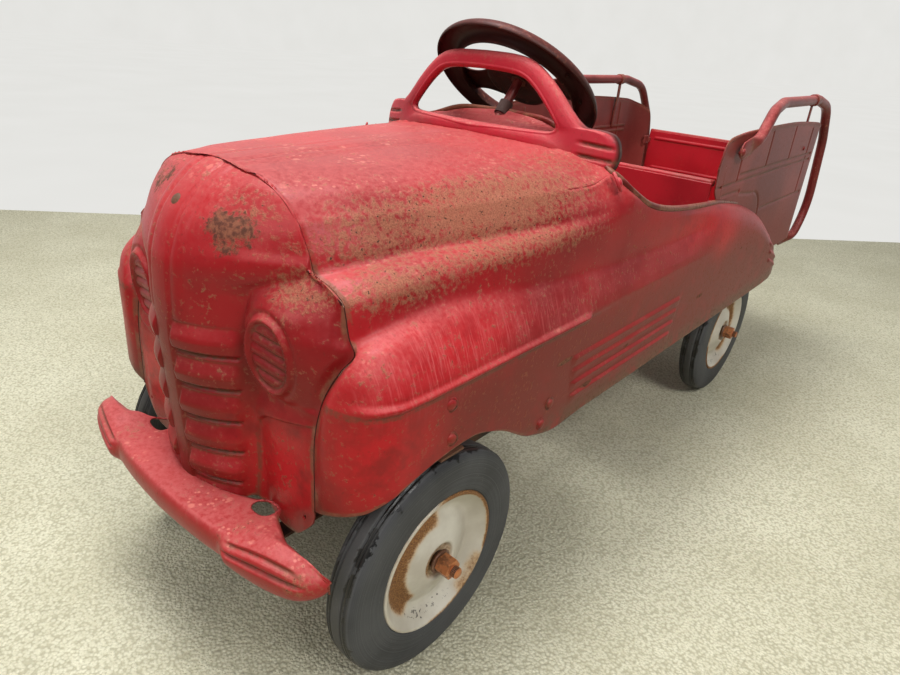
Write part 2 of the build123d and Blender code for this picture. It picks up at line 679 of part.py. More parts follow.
# Crank axle: a rod with a throw for each pedal rod, left one forward at rest
REAR_Y = y_at(WHEEL_BASE)
AXLE_TIP_X = 175.0
WEB_T = 5.0
PIN_IN, PIN_OUT = CRANK_X - 7.5, CRANK_X + 7.5
with BuildPart() as crank_axle:
    for sx in (1, -1):
        pin_y = REAR_Y - sx * CRANK_R
        with Locations(Location((sx * (PIN_OUT + AXLE_TIP_X) / 2, REAR_Y, AXLE_Z), (0, 90, 0))):
            Cylinder(AXLE_R, AXLE_TIP_X - PIN_OUT)
        with Locations(Location((sx * CRANK_X, pin_y, AXLE_Z), (0, 90, 0))):
            Cylinder(AXLE_R, 2 * (PIN_OUT - CRANK_X) + 2)
        for web_x in (PIN_OUT + WEB_T / 2, PIN_IN - WEB_T / 2):
            with BuildSketch(Plane.YZ.offset(sx * web_x)):
                with Locations(((REAR_Y + pin_y) / 2, AXLE_Z)):
                    SlotOverall(CRANK_R + 14, 14)
            extrude(amount=WEB_T / 2, both=True)
    with Locations(Location((0, REAR_Y, AXLE_Z), (0, 90, 0))):
        Cylinder(AXLE_R, 2 * (PIN_IN - 1))
save(crank_axle, "crank_axle")

BUSH_R = 8.0
with BuildPart() as rear_axle_hangers:
    for sx in (1, -1):
        with BuildSketch(Plane.YZ.offset(sx * (RAIL_X + 4))):
            with Locations((REAR_Y, AXLE_Z)):
                Circle(14)
            with BuildLine():
                Polyline((REAR_Y - 13, AXLE_Z + 4), (REAR_Y - 30, 185), (REAR_Y + 30, 185),
                         (REAR_Y + 13, AXLE_Z + 4), (REAR_Y - 13, AXLE_Z + 4))
            make_face()
            with Locations((REAR_Y, AXLE_Z)):
                Circle(BUSH_R, mode=Mode.SUBTRACT)
        extrude(amount=1.5, both=True)
        with Locations((sx * (RAIL_X - 0.5), REAR_Y, 183.5)):
            Box(12, 60, 3)
save(rear_axle_hangers, "rear_axle_hangers")

with BuildPart() as rear_axle_bushes:
    for sx in (1, -1):
        with Locations(Location((sx * (RAIL_X + 4), REAR_Y, AXLE_Z), (0, 90, 0))):
            Cylinder(BUSH_R, 14)
            Cylinder(AXLE_R + RUN, 14, mode=Mode.SUBTRACT)
save(rear_axle_bushes, "rear_axle_bushes")

# Pedal rods, each on a crank pin, with its pedal on a cross pin in front
ROD_T = 5.0
PEDAL_PIN_R = 4.0
ROD_L = WHEEL_BASE - PEDAL_S
PEDAL_INNER_X, PEDAL_OUTER_X = 15.0, 64.0
for side, sx in (("left", 1), ("right", -1)):
    front_y = y_at(PEDAL_S) - sx * CRANK_R
    rear_y = front_y + ROD_L
    with BuildPart() as pedal_rod:
        with BuildSketch(Plane.YZ.offset(sx * CRANK_X)):
            with Locations(((front_y + rear_y) / 2, AXLE_Z)):
                Rectangle(ROD_L, 11)
            with Locations((front_y, AXLE_Z)):
                Circle(8)
            with Locations((rear_y, AXLE_Z)):
                Circle(9.5)
                Circle(AXLE_R + RUN, mode=Mode.SUBTRACT)
        extrude(amount=ROD_T / 2, both=True)
        with Locations(Location((sx * (11 + CRANK_X) / 2, front_y, AXLE_Z), (0, 90, 0))):
            Cylinder(PEDAL_PIN_R, CRANK_X - 11)
        with Locations(Location((sx * 12.5, front_y, AXLE_Z), (0, 90, 0))):
            Cylinder(6.5, 3)
    save(pedal_rod, f"pedal_rod_{side}")

    with BuildPart() as pedal:
        with BuildSketch(Plane.YZ.offset(sx * (PEDAL_INNER_X + PEDAL_OUTER_X) / 2)):
            with Locations((front_y, AXLE_Z - 3)):
                RectangleRounded(26, 38, 7)
            with Locations((front_y, AXLE_Z)):
                Circle(PEDAL_PIN_R + RUN, mode=Mode.SUBTRACT)
        extrude(amount=(PEDAL_OUTER_X - PEDAL_INNER_X) / 2, both=True)
        for rib in range(-3, 4):
            with Locations((sx * (39.5 + 6.5 * rib), front_y + 13, AXLE_Z - 3)):
                Box(2.5, 3, 26)
    save(pedal, f"pedal_{side}")

    # strap that guides the rod's front end, hanging from the cross rod under the cowl
    swing = atan2(-sx * CRANK_R, HANGER_Z - AXLE_Z)
    strap_l = hypot(CRANK_R, HANGER_Z - AXLE_Z)
    with BuildPart() as hanger_strap:
        with BuildSketch(Plane.YZ.offset(sx * HANGER_X)):
            with Locations(Location(((y_at(PEDAL_S) + front_y) / 2, (HANGER_Z + AXLE_Z) / 2),
                                    degrees(swing) + 90)):
                SlotOverall(strap_l + 16, 16)
            with Locations((y_at(PEDAL_S), HANGER_Z)):
                Circle(PEDAL_PIN_R + RUN, mode=Mode.SUBTRACT)
            with Locations((front_y, AXLE_Z)):
                Circle(PEDAL_PIN_R + 1, mode=Mode.SUBTRACT)
        extrude(amount=1.5, both=True)
    save(hanger_strap, f"hanger_strap_{side}")

with BuildPart() as hanger_rod:
    with Locations(Location((0, y_at(PEDAL_S), HANGER_Z), (0, 90, 0))):
        Cylinder(PEDAL_PIN_R, 2 * HANGER_X + 12)
    for x in (-84, -76, 76, 84):
        with Locations(Location((x, y_at(PEDAL_S), HANGER_Z), (0, 90, 0))):
            Cylinder(7, 4)
save(hanger_rod, "hanger_rod")

with BuildPart() as hanger_bracket:
    with Locations((0, y_at(PEDAL_S), 409)):
        Box(70, 24, 3)
    for side in (1, -1):
        with Locations((side * 33.5, y_at(PEDAL_S), (410.5 + 320) / 2)):
            Box(3, 20, 410.5 - 320)
    with Locations(Location((0, y_at(PEDAL_S), HANGER_Z), (0, 90, 0))):
        Cylinder(PEDAL_PIN_R, 200, mode=Mode.SUBTRACT)
save(hanger_bracket, "hanger_bracket")

# Wheels: profiles are radius and distance out from the tyre's outer face
HUB_R = 7.5
PRESSING = [(64.0, -3), (60, -3), (56, -6), (52, -11), (45, -11.5), (40, -9), (22, -2.5),
            (17, -1.5), (14, -4.5), (HUB_R, -5)]
PLATE = 1.5
HUB_OUT, HUB_IN = 6.8, -39.7
NUT_H = 6.5
NUT_R = 8.5


WHEELS = {"front_left": (FRONT_TYRE_X, 0.0, 1), "front_right": (FRONT_TYRE_X, 0.0, -1),
          "rear_left": (REAR_TYRE_X, WHEEL_BASE, 1), "rear_right": (REAR_TYRE_X, WHEEL_BASE, -1)}


def wheel_points(face_x, sx, profile):
    """Cross-plane points from radii and distances out from the tyre's outer face."""
    return [(sx * (face_x + out), AXLE_Z + radius) for radius, out in profile]


for name, (face_x, station, sx) in WHEELS.items():
    axle = Axis((0, y_at(station), AXLE_Z), (1, 0, 0))
    with BuildPart() as tyre:
        with BuildSketch(cross_plane(station)):
            walls = wheel_points(face_x, sx, [(RIM_R, 0), (WHEEL_R, 0), (WHEEL_R, -TYRE_W), (RIM_R, -TYRE_W)])
            with BuildLine():
                FilletPolyline(*walls, radius=4)
                Line(walls[3], walls[0])
            make_face()
            grooves = [(WHEEL_R, out) for out in (-6, -9, 6 - TYRE_W, 9 - TYRE_W)]
            with Locations(*wheel_points(face_x, sx, grooves)):
                Rectangle(1.0, 2.4, mode=Mode.SUBTRACT)
        revolve(axis=axle)
    save(tyre, f"{name}_tyre")

    with BuildPart() as wheel_disc:
        with BuildSketch(cross_plane(station)):
            for flip in (False, True):
                outer = [(r, -TYRE_W - o if flip else o) for r, o in PRESSING]
                back = [(r, o + (PLATE if flip else -PLATE)) for r, o in reversed(outer)]
                with BuildLine():
                    Polyline(*wheel_points(face_x, sx, outer + back + outer[:1]))
                make_face()
            rim = [(RIM_R, -3), (RIM_R, 3 - TYRE_W), (RIM_R - PLATE, 3 - TYRE_W),
                   (RIM_R - PLATE, -3), (RIM_R, -3)]
            with BuildLine():
                Polyline(*wheel_points(face_x, sx, rim))
            make_face()
        revolve(axis=axle)
    save(wheel_disc, f"{name}_wheel_disc")

    with BuildPart() as hub:
        with BuildSketch(cross_plane(station)):
            sleeve = [(AXLE_R + RUN, HUB_OUT), (HUB_R, HUB_OUT), (HUB_R, HUB_IN),
                      (AXLE_R + RUN, HUB_IN), (AXLE_R + RUN, HUB_OUT)]
            with BuildLine():
                Polyline(*wheel_points(face_x, sx, sleeve))
            make_face()
        revolve(axis=axle)
    save(hub, f"{name}_hub")

# Axle nuts: one on each front stub, a pair on the crank axle
NUT_START = HUB_OUT + GAP


def nut_plane(face_x, station, sx):
    """Plane across an axle at its nut's inner face, facing outward."""
    return Plane(origin=(sx * (face_x + NUT_START), y_at(station), AXLE_Z), z_dir=(sx, 0, 0))


for side, sx in (("left", 1), ("right", -1)):
    with BuildPart() as front_nut:
        with BuildSketch(nut_plane(FRONT_TYRE_X, 0, sx)):
            RegularPolygon(NUT_R, 6)
            Circle(AXLE_R, mode=Mode.SUBTRACT)
        extrude(amount=NUT_H)
    save(front_nut, f"front_axle_nut_{side}")

with BuildPart() as rear_nuts:
    for sx in (1, -1):
        with BuildSketch(nut_plane(REAR_TYRE_X, WHEEL_BASE, sx)):
            RegularPolygon(NUT_R, 6)
            Circle(AXLE_R, mode=Mode.SUBTRACT)
        extrude(amount=NUT_H)
save(rear_nuts, "rear_axle_nuts")

# Irons from the axle beam to the bumper
with BuildPart() as bumper_irons:
    for x in (-60, 60):
        with BuildSketch(Plane.YZ.offset(x)):
            with BuildLine():
                Polyline(*side_view([(10, 115.6), (-98, 115.6), (-142.6, 147), (-142.6, 163)]))
                offset(amount=1.5)
            make_face()
        extrude(amount=8, both=True)
save(bumper_irons, "bumper_irons")

# Rivets through the sides
RIVET_SPOTS = [(-17, 266), (-14, 236), (121, 205), (111, 192)]   # station and height
with BuildPart() as body_rivets:
    for sx in (1, -1):
        for station, z in RIVET_SPOTS:
            with Locations(Location((sx * (BODY_HALF_W + 1), y_at(station), z), (0, 90, 0))):
                Cylinder(5, 2)
save(body_rivets, "body_rivets")
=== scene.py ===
"""Pedal station wagon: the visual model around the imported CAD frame.

Shapes are worked out in millimetres: x to the car's left, s behind the front axle, z up.
"""

import math

import bmesh
import bpy
import numpy as np
from mathutils import Matrix, Vector


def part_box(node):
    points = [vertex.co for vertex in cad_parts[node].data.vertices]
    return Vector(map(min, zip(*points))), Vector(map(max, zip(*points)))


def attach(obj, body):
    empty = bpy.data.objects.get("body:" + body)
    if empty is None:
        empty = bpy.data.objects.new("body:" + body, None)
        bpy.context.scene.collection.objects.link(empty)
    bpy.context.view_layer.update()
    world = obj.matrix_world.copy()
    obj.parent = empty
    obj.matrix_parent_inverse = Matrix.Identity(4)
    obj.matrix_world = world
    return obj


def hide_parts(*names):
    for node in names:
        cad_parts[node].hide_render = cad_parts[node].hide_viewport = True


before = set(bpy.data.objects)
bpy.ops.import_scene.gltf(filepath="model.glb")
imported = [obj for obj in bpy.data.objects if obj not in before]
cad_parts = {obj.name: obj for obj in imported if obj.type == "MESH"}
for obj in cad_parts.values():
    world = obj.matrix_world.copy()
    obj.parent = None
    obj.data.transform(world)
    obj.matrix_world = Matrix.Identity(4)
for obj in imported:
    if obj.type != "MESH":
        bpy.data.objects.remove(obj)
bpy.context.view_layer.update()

MM = 0.001


def centre_of(node):
    low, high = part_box(node)
    return (low + high) / 2 / MM


FRONT_Y = centre_of("front_left_tyre").y          # front axle
WHEEL_BASE = centre_of("rear_left_tyre").y - FRONT_Y
AXLE_Z = centre_of("front_left_tyre").z

# --- camera
EYE = (0.4223, -0.7550, 0.5005)
YAW, PITCH, ROLL = (math.radians(a) for a in (39.363, 25.188, 4.358))
FOCAL_LENGTH, SENSOR_WIDTH = 25.8, 36


def make_camera():
    forward = Vector((-math.sin(YAW) * math.cos(PITCH), math.cos(YAW) * math.cos(PITCH), -math.sin(PITCH)))
    right = forward.cross(Vector((0, 0, 1))).normalized()
    up = right.cross(forward)
    x_axis = right * math.cos(ROLL) + up * math.sin(ROLL)
    y_axis = up * math.cos(ROLL) - right * math.sin(ROLL)
    data = bpy.data.cameras.new("camera")
    data.lens, data.sensor_width = FOCAL_LENGTH, SENSOR_WIDTH
    data.clip_start, data.clip_end = 0.01, 50
    camera = bpy.data.objects.new("camera", data)
    rotation = Matrix((x_axis, y_axis, -forward)).transposed().to_4x4()
    camera.matrix_world = Matrix.Translation(EYE) @ rotation
    bpy.context.scene.collection.objects.link(camera)
    bpy.context.scene.camera = camera


make_camera()


# --- materials
class Nodes:
    """A material's node tree, built by calls that return sockets."""

    def __init__(self, name):
        self.material = bpy.data.materials.new(name)
        self.material.use_nodes = True
        self.tree = self.material.node_tree
        self.tree.nodes.clear()
        self.at = self.add("TexCoord", out="Object")
        self.normal = self.add("TexCoord", out="Normal")

    def add(self, kind, out=0, props=(), **values):
        node = self.tree.nodes.new("ShaderNode" + kind)
        for key, value in dict(props).items():
            setattr(node, key, value)
        for key, value in values.items():
            self.put(node.inputs[int(key[1:]) if key[1:].isdigit() else key.replace("_", " ")], value)
        return node.outputs[out]

    def put(self, socket, value):
        if isinstance(value, bpy.types.NodeSocket):
            self.tree.links.new(value, socket)
        else:
            if hasattr(socket.default_value, "__len__") and hasattr(value, "__len__"):
                value = tuple(value) + (1,) * (len(socket.default_value) - len(value))
            socket.default_value = value

    def noise(self, scale, detail=3, rough=0.55, stretch=(1, 1, 1), shift=(0, 0, 0), turn=(0, 0, 0)):
        at = self.add("Mapping", i0=self.at, i1=shift, i2=turn, i3=stretch)
        return self.add("TexNoise", i0=at, Scale=scale, Detail=detail, Roughness=rough)

    def calc(self, op, a, b=0.0, clamp=False):
        return self.add("Math", props={"operation": op, "use_clamp": clamp}, i0=a, i1=b)

    def plus(self, a, b, clamp=False):
        return self.calc("ADD", a, b, clamp)

    def minus(self, a, b):
        return self.calc("SUBTRACT", a, b)

    def step(self, value, low, high):
        """0 below low, 1 above high, smooth between; reversed if low is above high."""
        return self.add("MapRange", props={"interpolation_type": "SMOOTHSTEP"}, i0=value, i1=low, i2=high)

    def mix(self, share, a, b, mode="MIX"):
        node = self.tree.nodes.new("ShaderNodeMix")
        node.data_type, node.blend_type = "RGBA", mode
        for socket, value in ((node.inputs[0], share), (node.inputs[6], a), (node.inputs[7], b)):
            self.put(socket, value)
        return node.outputs[2]

    def axes(self, vector=None):
        node = self.tree.nodes.new("ShaderNodeSeparateXYZ")
        self.tree.links.new(vector or self.at, node.inputs[0])
        return node.outputs

    def attribute(self, name):
        return self.add("Attribute", out="Fac", props={"attribute_name": name})

    def times(self, *values):
        product = values[0]
        for value in values[1:]:
            product = self.calc("MULTIPLY", product, value)
        return product

    def most(self, *values):
        largest = values[0]
        for value in values[1:]:
            largest = self.calc("MAXIMUM", largest, value)
        return largest

    def near(self, point, radii, turn=0.0, solid=0.0):
        """1 at a point, 0 outside the radii about it, in metres, turned in the side view."""
        moved = self.add("VectorMath", props={"operation": "SUBTRACT"}, i0=self.at, i1=point)
        turned = self.add("Mapping", i0=moved, i2=(turn, 0, 0), i3=[1 / r for r in radii])
        length = self.add("VectorMath", out=1, props={"operation": "LENGTH"}, i0=turned)
        return self.step(length, 1.0, solid)

    def finish(self, colour, roughness, height=None, bump=0.3, distance=0.001, metallic=0.0, **values):
        shader = self.tree.nodes.new("ShaderNodeBsdfPrincipled")
        self.put(shader.inputs["Base Color"], colour)
        self.put(shader.inputs["Roughness"], roughness)
        self.put(shader.inputs["Metallic"], metallic)
        for key, value in values.items():
            self.put(shader.inputs[key.replace("_", " ")], value)
        if height is not None:
            normal = self.add("Bump", Strength=bump, Distance=distance, Height=height)
            self.tree.links.new(normal, shader.inputs["Normal"])
        output = self.tree.nodes.new("ShaderNodeOutputMaterial")
        self.tree.links.new(shader.outputs[0], output.inputs[0])
        return self.material


RED = (0.34, 0.011, 0.015)
BROWN_RED = (0.170, 0.013, 0.009)
CHALK = (0.50, 0.120, 0.115)
HIGHLIGHT_RED = (0.50, 0.010, 0.016)
RUST = (0.32, 0.120, 0.068)
DARK_RUST = (0.050, 0.020, 0.011)


def at_station(x, s, z):
    """A point given in millimetres, in the frame's metres."""
    return (x * MM, (FRONT_Y + s) * MM, z * MM)


def both_sides(*spots):
    """Centres, radii and amounts of spots on both sides, from x, s, z, three radii and an amount."""
    return [(at_station(side * x, s, z), radii, amount) for side in (1, -1) for x, s, z, *radii, amount in spots]


def enamel(name, base=RED, lower=BROWN_RED, chalk=0.8, speckle=0.5, patches=(), bare=(), painted_highlights=(),
           brushed=(), chips=(), dull=0.0, seed=0.0):
    """Old red enamel: chalky where it faces up, browner lower down, freckled with rust."""
    n = Nodes(name)
    shift = (seed, seed * 0.7, 0)
    facing = n.axes(n.normal)[2]
    height = n.axes()[2]
    broad = n.noise(7, 3, shift=shift)
    middling = n.noise(38, 4, 0.6, shift=shift)
    fine = n.noise(260, 3, 0.6, shift=shift)
    grain = n.noise(900, 2, 0.6, shift=shift)
    deep = [0.6 * b for b in base]
    colour = n.mix(n.step(broad, 0.35, 0.65), base, deep)
    low = n.times(n.step(height, 0.33, 0.25), n.step(facing, 0.45, 0.05))
    colour = n.mix(n.times(low, n.step(middling, 0.0, 0.55)), colour, lower)
    # painted highlights: patches of brighter red at the given points
    for point, radii, amount in painted_highlights:
        colour = n.mix(n.times(n.near(point, radii), n.step(middling, 0.25, 0.55), amount), colour, HIGHLIGHT_RED)
    # chalking, heaviest on what faces up
    up = n.step(n.plus(facing, n.times(n.minus(middling, 0.5), 0.9)), 0.10, 0.95)
    up = n.times(up, chalk, n.step(fine, 0.0, 0.8))
    colour = n.mix(up, colour, CHALK)
    # pale bloom spots, two sizes
    spots = 0.0
    for scale, size in ((85.0, 0.30), (210.0, 0.34)):
        cell = n.add("TexVoronoi", props={"feature": "F1"}, i0=n.at, Scale=scale, Randomness=1.0)
        spots = n.plus(spots, n.times(n.step(cell, size, size * 0.5), n.step(middling, 0.5, 0.62)), clamp=True)
    spots = n.times(spots, n.step(facing, 0.35, 0.9))
    colour = n.mix(n.times(spots, 0.75 * chalk), colour, (0.62, 0.22, 0.17))
    # pale streaks where it has been rubbed
    for point, radii, amount in brushed:
        streak = n.noise(300, 3, 0.6, stretch=(0.4, 2.2, 0.08), shift=shift)
        cover = n.times(n.near(point, radii), n.step(streak, 0.46, 0.70), amount)
        colour = n.mix(cover, colour, (0.62, 0.15, 0.15))
    # rust freckles over all, and thick in the given patches
    rust = n.times(n.step(fine, 0.56, 0.68), n.step(middling, 0.36, 0.62), speckle)
    blotch = n.noise(130, 5, 0.75, shift=shift)
    for point, radii, amount in patches:
        cover = n.times(n.near(point, radii), amount)
        level = n.plus(n.plus(n.times(fine, 0.70), n.times(blotch, 0.42)), n.times(cover, 0.30))
        rust = n.most(rust, n.times(n.step(level, 0.62, 0.90), n.step(cover, 0.0, 0.45)))
    rust_tone = n.mix(n.step(grain, 0.35, 0.7), RUST, (0.20, 0.075, 0.040))
    colour = n.mix(n.calc("MULTIPLY", rust, 0.85, clamp=True), colour, rust_tone)
    pits = n.times(n.step(n.noise(420, 2, 0.5), 0.63, 0.72), n.plus(n.times(rust, 0.8), 0.25, clamp=True))
    colour = n.mix(pits, colour, DARK_RUST)
    # paint worn through to dull brown metal
    gone = 0.0
    for point, radii, amount in bare:
        cover = n.times(n.near(point, radii), amount)
        ragged = n.plus(n.times(n.noise(60, 6, 0.75, shift=(seed + 3, 1, 2)), 0.7), n.times(fine, 0.3))
        through = n.step(n.plus(ragged, n.times(cover, 0.26)), 0.60, 0.72)
        gone = n.most(gone, n.times(through, n.step(cover, 0, 0.2), 0.9))
    for point, length, width, turn in chips:
        mark = n.near(point, (0.05, length / 2, width / 2), math.radians(turn), 0.7)
        gone = n.most(gone, n.times(mark, n.step(n.noise(300, 3), 0.30, 0.42)))
    metal = n.mix(n.step(fine, 0.35, 0.65), (0.20, 0.078, 0.042), (0.060, 0.024, 0.014))
    colour = n.mix(gone, colour, metal)
    wear = n.times(n.attribute("wear"), n.step(middling, 0.40, 0.54))
    colour = n.mix(n.times(wear, 0.8), colour, n.mix(fine, RUST, DARK_RUST))
    # near-black along panel joints, and painted shadow along the windshield frame's foot and inside the steering
    # rim's channel
    colour = n.mix(n.attribute("seam"), colour, (0.045, 0.012, 0.010))
    # darkening from a point attribute: grime in places, and painted shade under beads, bars and pressed lines, along
    # the nose's let-in panel and at the bumper's foot
    grime = n.times(n.attribute("grime"), n.step(n.plus(middling, n.times(fine, 0.6)), 0.62, 0.85))
    colour = n.mix(n.times(grime, 0.9), colour, n.mix(fine, (0.17, 0.08, 0.042), DARK_RUST))
    rough = n.plus(n.times(fine, 0.16), 0.27 + dull)
    rough = n.plus(rough, n.times(n.most(rust, up, gone), 0.30), clamp=True)
    relief = n.plus(n.times(middling, 0.5), n.times(n.most(rust, gone), n.plus(fine, grain)))
    relief = n.plus(relief, n.times(broad, 1.2))
    return n.finish(colour, rough, relief, bump=0.35, distance=0.0006, Specular_IOR_Level=0.20)


def plain_steel(name, colour, rust=0.4, rough=0.5, metallic=0.6, rust_light=(0.17, 0.065, 0.028)):
    """Bare steel, or another dull surface, with rust in patches."""
    n = Nodes(name)
    patches, fine = n.noise(30, 4), n.noise(300, 4, 0.65)
    cover = n.step(n.plus(patches, n.times(fine, 0.4)), 0.80 - 0.35 * rust, 0.95 - 0.25 * rust)
    dirty = n.mix(cover, colour, n.mix(fine, rust_light, (0.06, 0.025, 0.014)))
    return n.finish(dirty, n.plus(n.times(fine, 0.3), rough - 0.15), fine, bump=0.4, distance=0.0005,
                    metallic=n.times(n.minus(1.0, n.times(cover, 0.8)), metallic))


def tyre_rubber(name):
    """Old solid rubber: dusty grey, rubbed in rings, chipped glossy black at the tread's edges."""
    n = Nodes(name)
    radius = n.attribute("radius")
    rings = n.add("TexNoise", props={"noise_dimensions": "1D"}, W=n.times(radius, 900.0), Scale=1.0, Detail=4)
    broad, middling, fine = n.noise(14, 3), n.noise(70, 5, 0.65), n.noise(420, 3, 0.65)
    dust = n.step(n.plus(n.times(broad, 0.6), n.times(rings, 0.4)), 0.35, 0.65)
    colour = n.mix(dust, (0.030, 0.031, 0.034), (0.070, 0.072, 0.077))
    colour = n.mix(n.times(n.step(fine, 0.62, 0.74), 0.5), colour, (0.13, 0.13, 0.125))
    worn = n.times(n.attribute("wear"), 0.26)
    chipped = n.step(n.plus(middling, worn), 0.70, 0.74)
    colour = n.mix(chipped, colour, (0.006, 0.006, 0.007))
    colour = n.mix(n.attribute("grime"), colour, n.mix(fine, (0.10, 0.085, 0.06), (0.045, 0.042, 0.036)))
    rough = n.minus(0.62, n.times(chipped, 0.30))
    relief = n.plus(n.times(rings, 0.5), n.minus(n.times(fine, 0.6), chipped))
    return n.finish(colour, rough, relief, bump=0.45, distance=0.0005, Specular_IOR_Level=0.4)


def cream_enamel(name, seed):
    """Cream wheel enamel, rusted through where the attributes say, with dark specks."""
    n = Nodes(name)
    shift = (seed, 2 * seed, 0)
    broad, middling = n.noise(22, 4, 0.6, shift=shift), n.noise(75, 5, 0.65, shift=shift)
    fine, grain = n.noise(330, 4, 0.65, shift=shift), n.noise(1000, 2, 0.6, shift=shift)
    colour = n.mix(n.step(broad, 0.3, 0.7), (0.60, 0.57, 0.49), (0.45, 0.41, 0.34))
    rust = n.attribute("rust")
    stain = n.times(n.step(n.plus(n.times(middling, 0.5), n.times(rust, 0.8)), 0.38, 0.85), 0.8)
    colour = n.mix(stain, colour, (0.52, 0.31, 0.12))
    level = n.plus(n.plus(n.times(fine, 0.45), n.times(middling, 0.30)), n.times(rust, 0.60))
    thick = n.step(level, 0.60, 0.86)
    rust_tone = n.mix(n.step(grain, 0.35, 0.65), (0.29, 0.135, 0.040), (0.12, 0.050, 0.018))
    colour = n.mix(thick, colour, rust_tone)
    specks = n.step(n.plus(n.plus(n.times(fine, 0.7), n.times(middling, 0.4)),
                           n.times(n.attribute("grime"), 0.17)), 0.76, 0.80)
    colour = n.mix(n.times(specks, 0.9), colour, (0.05, 0.040, 0.038))
    rough = n.plus(0.38, n.times(thick, 0.4))
    return n.finish(colour, rough, n.minus(n.times(fine, thick), specks), bump=0.35, distance=0.0004)


RED_BODY = enamel(
    "red_body", speckle=0.85, chalk=0.62,
    patches=both_sides((134, 60, 384, 0.064, 0.24, 0.046, 1.3), (125, -35, 382, 0.06, 0.10, 0.05, 1.1),
                       (150, 90, 356, 0.05, 0.24, 0.020, 1.0), (145, -40, 350, 0.05, 0.12, 0.026, 0.95),
                       (120, 170, 405, 0.06, 0.12, 0.03, 0.6), (150, -75, 300, 0.035, 0.03, 0.035, 0.5)),
    brushed=both_sides((172, -25, 300, 0.05, 0.11, 0.045, 0.42), (172, 100, 302, 0.05, 0.20, 0.03, 0.28)),
    # painted highlights on the front fender, its crest and the rear fender's hump
    painted_highlights=both_sides((165, -70, 245, 0.08, 0.08, 0.075, 0.95), (172, -5, 305, 0.05, 0.10, 0.035, 0.95),
                      (178, 500, 300, 0.05, 0.06, 0.045, 0.8), (178, 420, 322, 0.05, 0.14, 0.040, 0.8)),
    chips=[(at_station(side * 180, s, z), length, width, turn) for side in (1, -1) for s, z, length, width, turn in (
        (452, 230, 0.022, 0.006, -38), (138, 247, 0.030, 0.006, -42), (260, 224, 0.012, 0.004, -35),
        (185, 207, 0.026, 0.005, -20), (575, 268, 0.006, 0.004, 0), (600, 262, 0.005, 0.003, 0))])
RED_NOSE = enamel(
    "red_nose", seed=2.0, speckle=0.85, chalk=0.5,
    patches=both_sides((105, -85, 345, 0.050, 0.05, 0.024, 0.85), (65, -100, 392, 0.06, 0.05, 0.035, 0.55),
                       (95, -95, 372, 0.05, 0.05, 0.03, 0.45), (95, -100, 322, 0.05, 0.05, 0.03, 0.35)),
    bare=[(at_station(56, -110, 377), (0.042, 0.05, 0.030), 1.0),
          (at_station(-45, -100, 392), (0.04, 0.05, 0.02), 0.7)],
    # painted highlight low on the nose's apron
    painted_highlights=both_sides((95, -100, 205, 0.08, 0.07, 0.085, 1.0)))
BRIGHT_RED = enamel("bright_red", base=(0.36, 0.011, 0.018), lower=(0.32, 0.004, 0.008), chalk=0.50,
                    speckle=0.12, seed=5.0)
BUMPER_RED = enamel(
    "bumper_red", base=(0.40, 0.016, 0.018), lower=(0.30, 0.024, 0.020), chalk=0.75, speckle=0.5, seed=6.5,
    patches=both_sides((85, -130, 158, 0.03, 0.04, 0.03, 0.5), (150, -130, 158, 0.03, 0.04, 0.03, 0.5)))
PINK_RED = enamel("windshield_red", base=(0.42, 0.020, 0.034), lower=(0.38, 0.016, 0.026), chalk=0.85,
                  speckle=0.35, seed=8.0)
FADED_RED = enamel("faded_red", base=(0.24, 0.046, 0.038), lower=(0.20, 0.030, 0.026), chalk=0.45, speckle=0.3,
                   dull=0.06, seed=11.0)
RAIL_RED = enamel("rail_red", base=(0.18, 0.024, 0.022), lower=(0.15, 0.016, 0.016), chalk=0.60,
                  speckle=0.9, seed=12.0)
WHEEL_BROWN = enamel("steering_brown", base=(0.042, 0.011, 0.008), lower=(0.04, 0.010, 0.008), chalk=0.16,
                     speckle=0.5, dull=0.12, seed=14.0)
EDGE_RED = enamel("edge_red", base=(0.15, 0.014, 0.010), lower=(0.13, 0.014, 0.010), chalk=0.25,
                  speckle=0.9, seed=15.0)
DARK_STEEL = plain_steel("dark_steel", (0.045, 0.038, 0.034), rust=0.7, rough=0.6)
HUB_STEEL = plain_steel("hub_steel", (0.30, 0.20, 0.14), rust=0.6, rough=0.45, metallic=0.8)
NUT_STEEL = plain_steel("rusty_nut", (0.62, 0.25, 0.11), rust=0.30, rough=0.38, metallic=0.85,
                        rust_light=(0.30, 0.10, 0.03))
BRONZE = plain_steel("bronze", (0.30, 0.17, 0.06), rust=0.2, rough=0.4, metallic=0.9)
BLACK_RUBBER = tyre_rubber("black_rubber")
BOOT_BROWN = plain_steel("dusty_rubber", (0.060, 0.028, 0.022), rust=0.3, rough=0.8, metallic=0.0)
TYRE_RUBBER = tyre_rubber("tyre_rubber")


# --- mesh helpers
def curve_through(knots, values, at):
    """Smooth curve through given values that doesn't overshoot them."""
    knots, values, at = (np.asarray(v, float) for v in (knots, values, at))
    gap = np.diff(knots)
    slope = np.diff(values, axis=0) / gap.reshape((-1,) + (1,) * (values.ndim - 1))
    a, b = slope[:-1], slope[1:]
    inner = np.where(a * b > 0, 2 * a * b / np.where(a + b == 0, 1, a + b), 0.0)
    tangent = np.concatenate([slope[:1], inner, slope[-1:]])
    i = np.clip(np.searchsorted(knots, at, "right") - 1, 0, len(gap) - 1)
    shape = at.shape + (1,) * (values.ndim - 1)
    h = gap[i].reshape(shape)
    t = ((at - knots[i]) / gap[i]).reshape(shape)
    return ((2 * t**3 - 3 * t**2 + 1) * values[i] + (t**3 - 2 * t**2 + t) * h * tangent[i]
            + (3 * t**2 - 2 * t**3) * values[i + 1] + (t**3 - t**2) * h * tangent[i + 1])


def table(text, columns=2):
    """Rows of numbers from text."""
    return np.array(text.split(), float).reshape(-1, columns)


